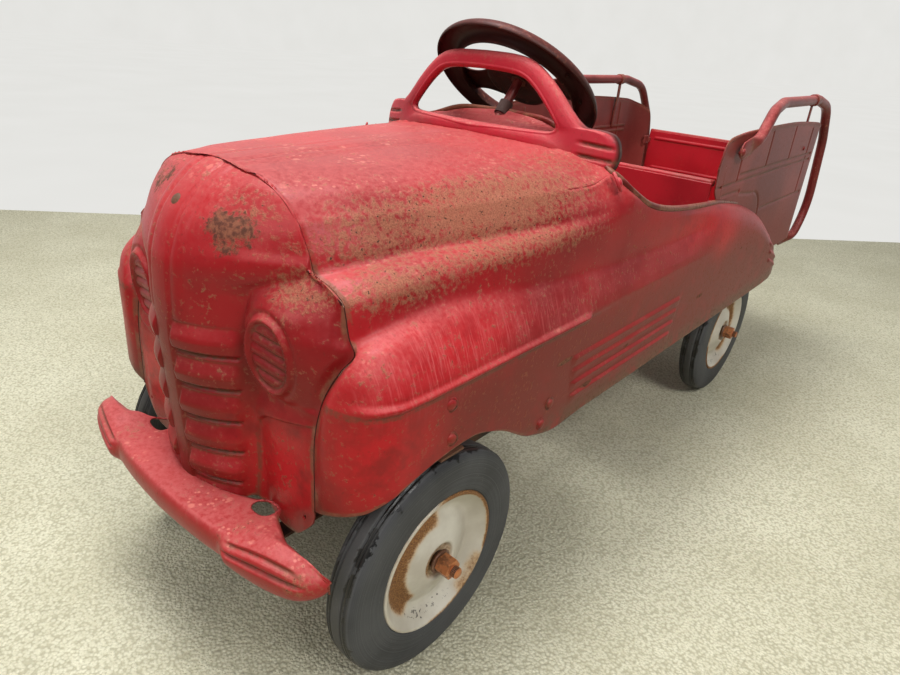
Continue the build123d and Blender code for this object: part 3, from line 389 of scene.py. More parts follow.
def smoothstep(value, low, high):
    t = np.clip((value - low) / (high - low), 0, 1)
    return t * t * (3 - 2 * t)


def bump_at(value, centre, half_width):
    """Rounded ridge of height 1 about a centre."""
    return np.clip(1 - ((value - centre) / half_width) ** 2, 0, 1) ** 1.5


WELD, SHORTEST_EDGE = 0.00002, 0.00001          # metres


def new_mesh(name, points, faces, material, **attributes):
    """Mesh from points in (x, s, z) millimetres."""
    frame_points = np.array(points, float) * MM
    frame_points[:, 1] += FRONT_Y * MM
    mesh = bpy.data.meshes.new(name)
    mesh.from_pydata(frame_points.tolist(), [], faces)
    for key, value in attributes.items():
        layer = mesh.attributes.new(key, "FLOAT", "POINT")
        layer.data.foreach_set("value", np.asarray(value, np.float32).ravel())
    work = bmesh.new()
    work.from_mesh(mesh)
    bmesh.ops.remove_doubles(work, verts=work.verts, dist=WELD)
    bmesh.ops.dissolve_degenerate(work, edges=work.edges, dist=SHORTEST_EDGE)
    bmesh.ops.recalc_face_normals(work, faces=work.faces)
    work.to_mesh(mesh)
    work.free()
    mesh.polygons.foreach_set("use_smooth", [True] * len(mesh.polygons))
    mesh.materials.append(material)
    made = bpy.data.objects.new(name, mesh)
    bpy.context.scene.collection.objects.link(made)
    return made


def grid_faces(rows, columns, wrap_columns=False, skip=None):
    """Quads between the rows and columns of a grid of points, all but those marked to skip."""
    faces = []
    for i in range(rows - 1):
        for j in range(columns if wrap_columns else columns - 1):
            a, b, k = i * columns, (i + 1) * columns, (j + 1) % columns
            if skip is None or not (skip[a + j] and skip[a + k] and skip[b + k] and skip[b + j]):
                faces.append([a + j, a + k, b + k, b + j])
    return faces


class Shell:
    """Points, faces and point attributes gathered into one mesh."""

    def __init__(self):
        self.points, self.faces, self.count = [], [], 0
        self.values = {}

    def add(self, points, faces, **attributes):
        points = np.asarray(points, float).reshape(-1, 3)
        self.faces += [[self.count + k for k in face] for face in faces]
        for key in set(self.values) | set(attributes):
            earlier = self.values.get(key, np.zeros(self.count))
            value = np.broadcast_to(np.asarray(attributes.get(key, 0.0), float).ravel(), (len(points),))
            self.values[key] = np.concatenate([earlier, value])
        self.points.append(points)
        self.count += len(points)

    def grid(self, points, skip=None, wrap_columns=False, **attributes):
        shape = points.shape[:2]
        attributes = {key: np.broadcast_to(value, shape) for key, value in attributes.items()}
        self.add(points, grid_faces(*shape, wrap_columns, skip), **attributes)

    def mirrored(self):
        """Adds the mirror image across the car's middle."""
        points = np.concatenate(self.points) * [-1, 1, 1]
        self.add(points, [face[::-1] for face in self.faces], **dict(self.values))

    def build(self, name, material, body, slot, *nodes, thickness=0.0, mirror=False, crease=0):
        if mirror:
            self.mirrored()
        made = new_mesh(name, np.concatenate(self.points), self.faces, material, **self.values)
        if crease:
            made.data.set_sharp_from_angle(angle=math.radians(crease))
        if thickness:
            solid = made.modifiers.new("thickness", "SOLIDIFY")
            solid.thickness, solid.offset, solid.use_even_offset = thickness * MM, -1, False
        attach(made, body)
        if nodes:
            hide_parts(*nodes)


def lengths_along(points):
    """How far each point is from the first, along the line through them."""
    return np.concatenate([[0], np.cumsum(np.linalg.norm(np.diff(points, axis=0), axis=1))])


def points_at(at, knots, points):
    """Points of a line at distances along it."""
    return np.stack([np.interp(at, knots, points[:, k]) for k in range(3)], 1)


def rounded_path(corners, radii, spacing=3.0):
    """Points along a bent rod's middle line, each corner rounded to its radius."""
    corners = np.array(corners, float)
    points = [corners[0]]
    for before, corner, after, radius in zip(corners, corners[1:], corners[2:], radii):
        a = (before - corner) / np.linalg.norm(before - corner)
        b = (after - corner) / np.linalg.norm(after - corner)
        half = math.acos(np.clip(a @ b, -1, 1)) / 2
        reach = radius / math.tan(half)
        for t in np.linspace(0, 1, 14):
            points.append((1 - t) ** 2 * (corner + a * reach) + 2 * t * (1 - t) * corner
                          + t ** 2 * (corner + b * reach))
    points = np.array([*points, corners[-1]])
    length = lengths_along(points)
    return points_at(np.linspace(0, length[-1], int(length[-1] / spacing) + 2), length, points)


def swept(path, widths, heights, across, segments=20, closed_ends=True, power=1.0):
    """Grid skinned over ovals along a path; across is the direction of their width."""
    path = np.asarray(path, float)
    tangent = np.gradient(path, axis=0)
    tangent /= np.linalg.norm(tangent, axis=1)[:, None]
    side = np.broadcast_to(np.asarray(across, float), path.shape)
    side = side - (side * tangent).sum(1)[:, None] * tangent
    side /= np.linalg.norm(side, axis=1)[:, None]
    up = np.cross(tangent, side)
    turn = np.linspace(0, 2 * math.pi, segments, endpoint=False)
    c, n = np.cos(turn), np.sin(turn)
    c, n = np.sign(c) * np.abs(c) ** power, np.sign(n) * np.abs(n) ** power
    w = np.broadcast_to(np.asarray(widths, float), (len(path),))[:, None, None]
    h = np.broadcast_to(np.asarray(heights, float), (len(path),))[:, None, None]
    grid = path[:, None, :] + w * c[None, :, None] * side[:, None, :] + h * n[None, :, None] * up[:, None, :]
    if closed_ends:
        first = np.broadcast_to(path[0], grid[:1].shape)
        last = np.broadcast_to(path[-1], grid[:1].shape)
        grid = np.concatenate([first, grid, last])
    return grid


def lathe(profile, centre, axis, segments=96):
    """Grid turned about an axis from radii and heights along it."""
    profile = np.asarray(profile, float)
    axis = np.asarray(axis, float) / np.linalg.norm(axis)
    start = np.array([0.0, 1.0, 0.0]) if abs(axis[1]) < 0.9 else np.array([1.0, 0.0, 0.0])
    u = start - (start @ axis) * axis
    u /= np.linalg.norm(u)
    v = np.cross(axis, u)
    turn = np.linspace(0, 2 * math.pi, segments, endpoint=False)
    spoke = np.cos(turn)[:, None] * u + np.sin(turn)[:, None] * v
    return (np.asarray(centre, float) + profile[:, 1][:, None, None] * axis
            + profile[:, 0][:, None, None] * spoke[None])


def smooth_profile(points, count):
    """A profile's points, evenly spaced along a smooth curve."""
    points = np.array(points, float)
    length = np.concatenate([[0], np.cumsum(np.hypot(*np.diff(points, axis=0).T))])
    return curve_through(length, points, np.linspace(0, length[-1], count))


def dome(shell, centre, axis, radius, height, segments=20, **attributes):
    """A rivet's head."""
    t = np.linspace(0, 1, 7)
    profile = np.stack([radius * np.cos(t * math.pi / 2), height * np.sin(t * math.pi / 2)], 1)
    profile = np.concatenate([[(radius, -2.0)], profile])
    grid = lathe(profile, centre, axis, segments)
    shell.grid(grid, wrap_columns=True, **attributes)


# --- body shell
def section_rows(text):
    """Stations with their points (x, z), from rows of numbers parted by slashes."""
    rows = (row.split(":") for row in text.split("/"))
    return [(float(s), table(numbers)) for s, numbers in rows]


# Each row: its station, then x and z of crown, hood, shoulder, side, crease, bulge, valley and
# fender down to the skirt
ROWS = section_rows("""
    -75:  0 409.5  38 408.5  71 400  91 384  101 366  106 354  118 351  134 342  140 320  145 311  137 298
    131 285  128 272  126 240  127 186 /
    -68:  0 410  39.5 409  73 401  94 385  104 367  110 355  122 352.5  138 343.5  144 321.5  150 313  148 299.5
    144 285.5  141 273  139 240  140 192 /
    -60:  0 410.2  41.5 409  76 401.5  97 385.5  107.5 367.5  113 356  126.5 354  141 345  147 324  157 315
    160 300  160 286  158 274  157 240  157 199 /
    -50:  0 410.5  43.5 409  79.5 402  99.5 386  110.5 368  115.5 357  129.5 355  143.5 346  149 326  163 316
    171 299.5  173 286  171 275  171 240  171 205 /
    -34:  0 411  47 409.5  85 403  105 386  115 369  120 358.5  134 356.5  146.5 348  151.5 329.5  165 318
    176 300  180 286  178.5 277.5  178.5 240  178.5 214 /
    0:  0 411  52 410  93 403  113 386  122 370  127 361  141 359  151 350  156 334  167 321  177 300  181.5 286
    179.5 278  179.5 240  179.5 223.5 /
    22:  0 411.5  56 410  98 403  119 386.5  128.5 370.5  133 362  146 359  154.5 350  158.5 333  168 319.5
    177.5 299  181.5 285.5  179.5 278  179.5 240  179.5 226.5 /
    46:  0 412  60 410.5  104 403  125 387  135 371  139 363  151 359  158 350  161 332  169 318  178 298
    181.5 285  179.5 277.5  179.5 240  179.5 216 /
    94:  0 413  66 411  114 403  136 388  146 372  149 365  158 360  164 350  165 328  171 314  178.5 295
    181.5 284.5  179.5 277  179.5 230  179.5 189 /
    140:  0 414  72 411.5  122 403  145 389  155 373  158 366  164 360  167 350  167 325  172 311  178.5 293
    181.5 284  179.5 276.5  179.5 225  179.5 178 /
    190:  0 415  78 412  128 403  151 390  162 375  165 368  168 361  169.5 350  169 323  173 309  178.5 292
    180.5 283  179.5 276  179.5 225  179.5 180 /
    225:  0 424  80 417  128 404  150 396.5  165 378  169 370  170.5 362  170.5 350  169.5 321  173 308  178.5 291
    180 283  179.8 276  179.8 225  179.8 180""")
# How far the six outer points of the first rows lie from the rows' stations
FENDER_SHIFTS = np.array([[0, -4, -9, -14, -19.5, -21],
                         [-10, -20, -25, -28, -30, -30],
                         [-15, -26, -30, -33, -34, -35],
                         [-16, -24, -30, -32, -33, -34],
                         [-11, -21, -26, -28, -29, -30],
                         [0, -14, -20, -24, -27, -29],
                         [0, -6, -8, -10, -12, -13]], float)
CREST = 3      # the point that becomes the cockpit's edge
# Behind the cowl only the sides are left, from the cockpit's edge down.
SIDE_ROWS = section_rows("""
    239:  163 383.5  169 376  170.5 369  171 362  171 350  170 321  173 308  178.5 291  180 283  179.8 276
    179.8 225  179.8 180 /
    273:  169.5 366  171 362  171.3 358  171.5 353  171.5 343  170.5 320  173.5 307  178.5 290  180 283  180 276
    180 225  180 180 /
    311:  170.5 357  171.5 353  171.8 349  172 345  172 337  171 319  174 306  178.5 290  180 283  180 276
    180 225  180 180 /
    364:  170 350  171 347  171.5 344  172 340  172 333  171.5 318  174.5 305  179 290  180 283  180 276  180 225
    180 180 /
    420:  169 345  170 343  171 340  172 337  172.5 331  173 318  176 306  179 291  180 283  180 276  180 225
    180 180 /
    468:  167 341  169 340  171 338  173 334  175 329  177 318  178.5 306  179.7 292  180 283  180 276  180 225
    180 180 /
    503:  165 336  168 335.5  171 334  174 331  176.5 326  178.5 316  179.5 304  180 291  180 283  180 276
    180 225  180 180 /
    561:  163 326  167 325  171 323  174 320  177 315  179 306  180 296  180 288  180 281  180 274  180 225
    180 180 /
    636:  163 305  167 304  171 302  174 299  177 294  179 286  180 277  180 270  180 264  180 258  180 220
    180 180 /
    711:  163 270  167 269  171 267  174 264  177 259  179 252  180 244  180 238  180 233  180 228  180 205
    180 180 /
    762:  163 239  167 238  171 236  174 233  176.5 229  178.5 223  179.5 217  179.5 212  179.5 208  179.5 204
    179 192  179 180 /
    802:  163 206  166 205  169 203.5  171 201.5  172.5 199.5  173.5 197  174 194  174 191  174 189  174 187
    174 183  174 180""")
# How many mesh columns lie between one section point and the next
SPANS = [14, 14, 10, 8, 5, 7, 8, 9, 9, 10, 9, 8, 30, 34]
COWL_BOW = 31.0
SIDE_RIBS = [(240 - 13.5 * rib, 151 + 2 * rib, 386 - 4 * rib) for rib in range(4)]      # height and ends


def smooth_section(points, spans):
    """Points along a section, closer where it has more columns."""
    at = np.concatenate([i + np.arange(n) / n for i, n in enumerate(spans)] + [[len(spans)]])
    return curve_through(np.arange(len(points)), points, at)


def body_sections():
    """Landmark rows as arrays: all points as far as the cowl, and the side points to the tail."""
    full, rear = (np.array([[(x, s, z) for x, z in points] for s, points in rows]) for rows in (ROWS, SIDE_ROWS))
    full[:len(FENDER_SHIFTS), -FENDER_SHIFTS.shape[1]:, 1] += FENDER_SHIFTS
    return full, np.concatenate([full[:, CREST:], rear])


def press(p):
    """Trim bead, rib blocks, the hood's centre strip and the cowl's ridges, pressed in the sheet."""
    x, s, z = p[..., 0], p[..., 1], p[..., 2]
    side = smoothstep(x, 150, 170)
    bead = bump_at(z, 282.5, 4.6) * smoothstep(s, -106, -84) * smoothstep(s, 172, 164)
    out = 3.4 * bead * side
    for centre, start, end in SIDE_RIBS:
        drop = (centre + 5 - z) / 11.0
        slat = np.where(drop < 0, np.clip(1 + drop * 6, 0, 1), np.clip(1 - drop, 0, 1))
        out += 2.3 * slat * smoothstep(s, start, start + 3) * smoothstep(s, end, end - 3) * side
    for rib in range(4):
        along = smoothstep(s, 716 + 5 * rib, 720 + 5 * rib)
        out += (1.8 * bump_at(z, 246 - 12.5 * rib - (s - 760) * 0.35, 4.2) * along
                * smoothstep(s, 792, 786) * (s > 700) * smoothstep(x, 172, 176))
    moved = p.copy()
    moved[..., 0] += out
    top = smoothstep(z, 388, 402) * smoothstep(s, 200, 180)
    strip = centre_strip(x)
    ridges = (1.5 * np.cos((s - 200) * 2 * math.pi / 13) * smoothstep(s, 203, 210)
              * smoothstep(x, 150, 120) * (z > 395))
    moved[..., 2] += strip * top + ridges
    # the edge against the nose turns in a little
    lip = smoothstep(s, -73.2, -75.2) * smoothstep(z, 300, 330)
    moved[..., 2] -= 0.8 * lip * smoothstep(z, 340, 400)
    moved[..., 0] -= 0.8 * lip * smoothstep(z, 405, 370)
    return moved


def centre_strip(x):
    """Height of the raised strip and its side ridges across the nose and hood."""
    x = np.abs(x)
    return 1.6 * smoothstep(x, 12.5, 9.5) + 1.3 * bump_at(x, 18, 6.5)


def make_body():
    full, side = body_sections()
    stations = np.array([r[0] for r in ROWS] + [r[0] for r in SIDE_ROWS], float)
    split = stations[len(ROWS) - 1]
    front_at = np.concatenate([[-75, -74.6], np.linspace(-74, -30, 40, endpoint=False), np.linspace(-30, split, 70)])
    rear_at = np.concatenate([front_at, np.linspace(split, 802, 170)[1:]])
    crown = curve_through(stations[:len(ROWS)], full[:, :CREST + 1], front_at)
    crown = np.array([smooth_section(row, SPANS[:CREST]) for row in crown])
    # the cowl's rear edge bows backwards
    bow = COWL_BOW * (1 - (crown[..., 0] / 150) ** 2)
    crown[..., 1] += bow * smoothstep(crown[..., 1], 150, split)
    crown[..., 2] += 8.5 * smoothstep(crown[..., 1], 205, 256) * smoothstep(crown[..., 0], 150, 40)
    sides = curve_through(stations, side, rear_at)
    sides = np.array([smooth_section(row, SPANS[CREST:]) for row in sides])
    crown, sides = press(crown), press(sides)
    shell = Shell()
    seam = np.zeros(crown.shape[:2])
    seam[0] = 1
    shell.grid(crown, seam=seam)
    seam = np.zeros(sides.shape[:2])
    seam[0] = 1
    wear = np.zeros(sides.shape[:2])
    wear[:, -3:], wear[:4] = 1, 1
    s, z = sides[..., 1], sides[..., 2]
    # darker towards the sides' lower edge, and painted shade in a line under the trim bead
    grime = 0.8 * smoothstep(z, 205, 185) + 0.7 * (np.abs(z - 277) < 2.5) * (s < 170)
    shell.grid(sides, seam=seam, wear=wear, grime=grime)
    return crown, sides, shell


crown, sides, shell = make_body()
shell.build("body_panels", RED_BODY, "chassis", "red_enamel", "body_shell", thickness=1.3, mirror=True)

# Rolled edge round the cockpit
below = sides[:, 0, 1] > 226
edge = np.concatenate([crown[-1], sides[below, 0]])
edge = edge[edge[:, 1] < 560]
length = lengths_along(edge)
edge = points_at(np.arange(0, length[-1], 3.0), length, edge)
shell = Shell()
shell.grid(swept(edge, 3.0, 3.0, (0, 0, 1), 14, closed_ends=False), wrap_columns=True, wear=1.0)
shell.build("cockpit_edge", EDGE_RED, "chassis", "red_enamel", mirror=True)


# --- nose
# Height and station at the middle of each row, then x, height and station of its end on the seam
NOSE_ROWS = table("""
    152 -123 127 184 -96  176 -124.5 126 198 -96  200 -125.5 125.5 214 -95.5  225 -126.5 125.5 231 -94.5
    250 -127.5 126 250 -93  270 -128 128 270 -90  286 -128.5 131 285 -84  298 -128.4 137 298 -79
    311 -128.2 145 311 -75  320 -128 140 322 -75  345 -126 134 342 -75  362 -121.5 118 351 -75
    377 -114.5 106 355 -75  388 -106 101 366 -75  397 -97 91 384 -75  404 -88 74 398.5 -75  408 -80 50 406.5 -75
    409.5 -75 0 409.5 -75""", 5)
NOSE_FOOT = ([0, 30, 50, 60, 66, 75, 90, 103, 115, 123, 127], [152, 154, 160, 165, 160, 155, 151, 152, 162, 172, 184])
PROW_WIDTH = ([150, 165, 182, 200, 290, 320, 330, 338, 346, 352, 358, 366, 377, 384, 391, 400, 405, 408.5, 409.5],
              [86, 84, 80, 76, 76, 76, 78, 86, 98, 104, 106, 101, 96, 91, 84, 71, 55, 38, 12])
POD_X = [56, 62, 66, 76, 87, 98, 109, 118, 128, 138, 147]
POD_Z = [260, 267, 280, 296, 312, 325, 335, 343, 352, 360]
POD_S = table("""
    -84 -88 -90 -93 -94 -93 -90 -87 -84 -82 -80  -88 -94 -96 -98 -98.5 -97.5 -94 -91 -87 -84 -80
    -90 -99 -102 -102 -101 -99.5 -97 -93 -89 -84 -79  -90 -101 -104 -103 -101.5 -100.5 -99 -95 -89.5 -83 -76
    -90 -101 -104 -104 -103 -101.5 -99 -94 -88 -80.5 -75
    -88 -98 -101 -102.5 -102.5 -100.5 -96.5 -90 -83.5 -78 -75  -86 -94 -97 -99 -98.5 -96 -91 -85 -79.5 -76 -75
    -84 -89 -91.5 -93 -92.5 -89.5 -85 -80 -76.5 -75 -75  -78 -81 -83 -84 -83 -81 -78.5 -76 -75 -75 -75
    -75 -75 -75 -75 -75 -75 -75 -75 -75 -75 -75""", 11)
BAR_TOP, BAR_PITCH, BARS = 307.0, 27.0, 6
LENS = (87.0, 296.0, 20.5, 27.5)      # x, height and half sizes
SEAM_S = -75.0


def soft_min(a, b, k):
    h = np.clip(0.5 + 0.5 * (b - a) / k, 0, 1)
    return b * (1 - h) + a * h - k * h * (1 - h)


def table_at(xs, zs, table, x, z):
    """Values of a given table, smooth in both directions."""
    fine_x, fine_z = np.linspace(xs[0], xs[-1], 240), np.linspace(zs[0], zs[-1], 260)
    wide = np.array([curve_through(xs, row, fine_x) for row in table])
    full = curve_through(zs, wide, fine_z)
    i = np.clip((x - xs[0]) / (xs[-1] - xs[0]), 0, 0.9999) * (len(fine_x) - 1)
    j = np.clip((z - zs[0]) / (zs[-1] - zs[0]), 0, 0.9999) * (len(fine_z) - 1)
    i0, j0 = i.astype(int), j.astype(int)
    a, b = i - i0, j - j0
    return ((full[j0, i0] * (1 - a) + full[j0, i0 + 1] * a) * (1 - b)
            + (full[j0 + 1, i0] * (1 - a) + full[j0 + 1, i0 + 1] * a) * b)


def nose_surface(seam, columns=110, rows=300):
    middle_z, middle_s = NOSE_ROWS[:, 0], NOSE_ROWS[:, 1]
    length = np.concatenate([[0], np.cumsum(np.hypot(np.diff(middle_z), np.diff(middle_s)))])
    row = curve_through(length, NOSE_ROWS, np.linspace(0, length[-1], rows))
    zc, end_x, end_z, end_s = row[:, :1], row[:, 2:3], row[:, 3:4], row[:, 4:5]
    u = np.linspace(0, 1, columns)[None]
    spread = smoothstep(zc, 325, 362)
    x = end_x * (u * (1 - spread) + np.sin(u * math.pi / 2) * spread)
    share = x / np.maximum(end_x, 0.001)
    foot = curve_through(*NOSE_FOOT, np.clip(x, 0, 127)) - 152
    z = np.where(zc < 250, zc + foot * np.clip((250 - zc) / 98, 0, 1), zc + (end_z - zc) * share ** 3.6)
    # prow, pods and the flat apron below them
    centre_s = curve_through(middle_z, middle_s, np.clip(z, middle_z[0], middle_z[-1]))
    width = curve_through(*PROW_WIDTH, np.clip(z, 150, 409.5))
    blunt = 2.0 - 0.3 * smoothstep(z, 318, 368)
    prow = centre_s + (SEAM_S - centre_s) * (1 - (1 - np.clip(x / width, 0, 1) ** blunt) ** 0.85)
    pod = table_at(POD_X, POD_Z, POD_S, np.clip(x, 56, 147), np.clip(z, 260, 360))
    pod = np.where((x < 56) | (z > 360), SEAM_S + 8, pod)
    pod = pod + 25 * smoothstep(z, 262, 252) + 10 * smoothstep(x, 58, 54)
    apron = -97.5 + 1.5 * smoothstep(x, 112, 127) + 4.5 * smoothstep(z, 243, 262) + 30 * smoothstep(z, 262, 284)
    # panel let into the apron, with a rounded upper corner
    inner = x - 61
    under = 243 + (x - 77) * 0.245 - z
    corner = 14.0
    depth = np.where((inner < corner) & (under < corner),
                     corner - np.hypot(np.maximum(corner - inner, 0), np.maximum(corner - under, 0)),
                     np.minimum(inner, under))
    apron = apron + 2.6 * smoothstep(depth, -0.4, 2.0) - 1.6 * smoothstep(depth, 4, 26)
    s = soft_min(soft_min(prow, pod, 4.0), apron, 3.0)
    # land on the seam
    near_end = smoothstep(u, 0.93, 1.0)
    s = s * (1 - near_end) + end_s * near_end
    ends = np.stack([x[:, -1], s[:, -1], z[:, -1]], 1)
    onto = np.array([seam[np.argmin(((seam - end) ** 2).sum(1))] for end in ends])
    onto = np.where(ends[:, 2:] > 187, onto, ends)
    shift = np.clip((u[0] - 0.9) / 0.1, 0, 1)[None, :, None] * (onto - ends)[:, None]
    x, s, z = x + shift[..., 0], s + shift[..., 1], z + shift[..., 2]
    return x, s, z, depth


def make_nose():
    seam = np.concatenate([crown[0], sides[0]])
    seam = points_at(np.linspace(0, len(seam) - 1, 4000), np.arange(len(seam)), seam)
    x, s, z, panel = nose_surface(seam)
    above = smoothstep(z, 300, 312)       # the centre strip is narrower between the bars
    out = 1.6 * smoothstep(x, 12.5 - 2 * (1 - above), 9.5 - 2 * (1 - above)) + 1.3 * bump_at(x, 18, 6.5) * above
    grime = np.zeros_like(x)
    for bar in range(BARS):
        t = (BAR_TOP - BAR_PITCH * bar - z) / BAR_PITCH
        relief = np.interp(t, [0, 0.06, 0.40, 0.52, 0.60, 0.78, 0.86, 0.90, 0.97, 1.0],
                           [0, -0.8, 3.4, 4.3, 4.0, 3.0, -1.2, -2.6, -2.4, 0])
        reach = 58.5 - 0.9 * bar
        corner = 3.0 * np.clip(np.abs(t - 0.5) * 2, 0, 1) ** 2
        ends = smoothstep(x, 9.5, 12.0) * smoothstep(x, reach - corner, reach - corner - 4)
        inside = (t > 0) & (t < 1)
        out += relief * ends * inside
        # painted shade in the undercut below each bar, and a little in the groove at its top
        grime = np.maximum(grime, ends * inside * (bump_at(t, 0.93, 0.12) + 0.35 * bump_at(t, 0.05, 0.1)))
    # lens: a raised ring with convex ribs inside
    lx, lz, rx, rz = LENS
    ring = np.hypot((x - lx) / rx, (z - lz) / rz)
    lens = 2.6 * np.exp(-((ring - 1.0) / 0.075) ** 2) - 1.0 * smoothstep(ring, 0.93, 0.86)
    band = ((z - lz + 0.13 * (x - lx)) / 9.6 + 0.5) % 1.0 - 0.5
    lens += (2.4 * np.clip(1 - (np.abs(band) / 0.46) ** 2.4, 0, 1) - 1.2) * smoothstep(ring, 0.84, 0.76)
    lens -= 0.9 * np.exp(-((ring - 1.17) / 0.06) ** 2)
    # darker in the grooves between the lens ribs and at the ring's inner foot
    grime = np.maximum(grime, 0.8 * smoothstep(np.abs(band), 0.38, 0.48) * smoothstep(ring, 0.84, 0.78))
    grime = np.maximum(grime, 0.55 * np.exp(-((ring - 0.86) / 0.05) ** 2))
    # painted shadow along the edge of the panel let into the apron
    grime = np.maximum(grime, 0.8 * np.exp(-((panel - 0.6) / 1.3) ** 2) * (z < 262))
    over = smoothstep(z, 352, 404)
    turn = math.radians(7)
    p = np.stack([x + lens * math.sin(turn), s - out * np.cos(over * math.pi / 2) - lens * math.cos(turn),
                  z + out * np.sin(over * math.pi / 2)], -1)
    # the edge against the hood turns in
    rim = np.zeros_like(x)
    rim[:, -1:] = 1
    p[..., 0] -= 0.5 * rim * smoothstep(z, 408, 380)
    p[..., 2] -= 0.5 * rim * smoothstep(z, 370, 400)
    wear = np.zeros_like(x)
    wear[:3], wear[:, -4:] = 1, 1
    shell = Shell()
    hole = np.hypot(x - 115, z - 174) < 2.4
    shell.grid(p, skip=hole.ravel(), wear=wear, seam=rim, grime=grime)
    shell.build("nose_pressing", RED_NOSE, "chassis", "red_enamel", "nose_panel", thickness=1.3, mirror=True)


make_nose()

# Bolt on the nose's crown
shell = Shell()
bolt_axis = (0, -0.75, 0.66)
bolt = lathe([(0.01, 1.5), (3.5, 1.5), (4.6, 0.6), (5.6, 0.5), (6.2, -0.4), (6.2, -2)],
             (0, -108.5, 386), bolt_axis, 24)
shell.grid(bolt, wrap_columns=True)
shell.build("nose_bolt", DARK_STEEL, "chassis", "dark_steel")

# --- windshield frame
# Half outlines in front view, matched point for point: outer edge and opening
SHIELD_OUTER = table("""
    0 488.5  24 488  46 485.5  60 480  74 470  88 457  100 444  109 435.5  117 431  127 430.5  139 428  146 420
    148.5 409  146.5 398  137 394  120 399  100 404  70 408.5  38 410.5  0 411""")
SHIELD_INNER = table("""
    0 472  22 471.5  40 470  50 467.5  61 460.5  71 451.5  80 442  86 435  89 431  89.6 428.5  88.8 426.5
    87 425.2  85 424.6  82 424.2  79 424  74 424  66 424  46 424  24 424  0 424""")


SHIELD_GROOVES = (406.0, 417.0)       # heights, on the wings
SHIELD_S, SHIELD_SWEEP, SHIELD_LEAN = 200, 36, math.tan(math.radians(10))


def shield_station(x, z):
    """Where the frame's sheet stands: swept back towards its sides and leaning back."""
    return SHIELD_S + SHIELD_SWEEP * (x / 150) ** 2 + (z - 411) * SHIELD_LEAN


def make_windshield():
    knots = np.arange(len(SHIELD_OUTER))
    at = np.linspace(0, len(knots) - 1, 190)
    outer, inner = curve_through(knots, SHIELD_OUTER, at), curve_through(knots, SHIELD_INNER, at)
    across = np.concatenate([[0, 0.0], np.linspace(0, 1, 44), [1.0, 1.0]])[None, :, None]
    flat = outer[:, None] * (1 - across) + inner[:, None] * across
    x, z = flat[..., 0], flat[..., 1]
    gap = np.linalg.norm(inner - outer, axis=1)[:, None]
    to_outer, to_inner = across[..., 0] * gap, (1 - across[..., 0]) * gap
    # rounded flanges along both edges, turned back at the very edge
    raised = 3.6 * (1 - np.abs(2 * across[..., 0] - 1) ** 3.0) + 0.9 * bump_at(to_inner, 2.6, 2.6) + 0.8
    wing = smoothstep(x, 108, 122)
    plain = 4.6 * np.sqrt(np.clip(np.minimum(to_outer, 8) / 8, 0, 1))
    for groove in SHIELD_GROOVES:
        plain = plain - (3.0 * bump_at(z, groove - (x - 135) * 0.10, 2.6) * smoothstep(x, 110, 118)
                         * smoothstep(to_outer, 2, 6))
    raised = raised * (1 - wing) + plain * wing
    raised[:, :2], raised[:, -2:] = [-3.0, -1.2], [-1.2, -4.0]
    s = shield_station(x, z) - raised
    s[:, 0] += 2
    grime = 0.9 * np.maximum(*(bump_at(z, g - (x - 135) * 0.10, 2.4) for g in SHIELD_GROOVES)) * wing
    shell = Shell()
    # painted shadow: a near-black band along the frame's lower outer edge, where it meets the cowl
    under = smoothstep(to_outer, 2.4, 0.6) * smoothstep(z, 440, 425)
    shell.grid(np.stack([x, s, z], -1), grime=grime, wear=0.35 * smoothstep(z, 420, 404), seam=under)
    # rivet tab below each wing
    tab = [(-6, 10), (-7, 2), (-6.5, -4), (-3.5, -7.5), (0, -8.5), (3.5, -7.5), (6.5, -4), (7, 2), (6, 10)]
    centre = np.array([161.5, 214.5, 391.5])
    along, down = np.array([-0.40, 0.90, -0.14]), np.array([-0.50, -0.10, 0.86])
    outward = np.cross(along, down)
    outward *= np.sign(outward[0]) / np.linalg.norm(outward)
    rim = np.array([centre + a * along + b * down for a, b in tab])
    shell.grid(np.stack([rim - 1.0 * outward, rim + 1.2 * outward, centre + 0.6 * (rim - centre) + 1.8 * outward,
                         np.broadcast_to(centre + 1.8 * outward, rim.shape)]), grime=0.3)
    dome(shell, centre + 1.6 * outward, outward, 4.4, 2.6)
    shell.build("windshield", PINK_RED, "chassis", "red_enamel", "windshield_frame", thickness=1.4, mirror=True)


make_windshield()

# --- bumper
# Half width, station of the front face, height of the shelf and station of its rear edge
BUMPER_X = [0, 30, 60, 80, 95, 110, 125, 140, 152, 160, 164]
BUMPER_S = [-152.5, -151.5, -149, -146, -143.5, -140.5, -137, -132.5, -127.5, -122, -116]
BUMPER_TOP = [167, 167, 166.5, 166.5, 168, 171.5, 173, 171.5, 168, 166, 165]
BUMPER_LOW = [143, 143, 142.5, 141.5, 138.5, 135.5, 134.5, 135.5, 138.5, 140.5, 142]
BUMPER_REAR = [-119, -116, -104, -92, -105, -112, -116, -116, -115, -115, -115]
BUMPER_GROOVES = (0.60, 0.78)         # shares of the way up the front face
CUT_CENTRE, CUT_RADII = (79.0, -106.0), (11.0, 8.0)


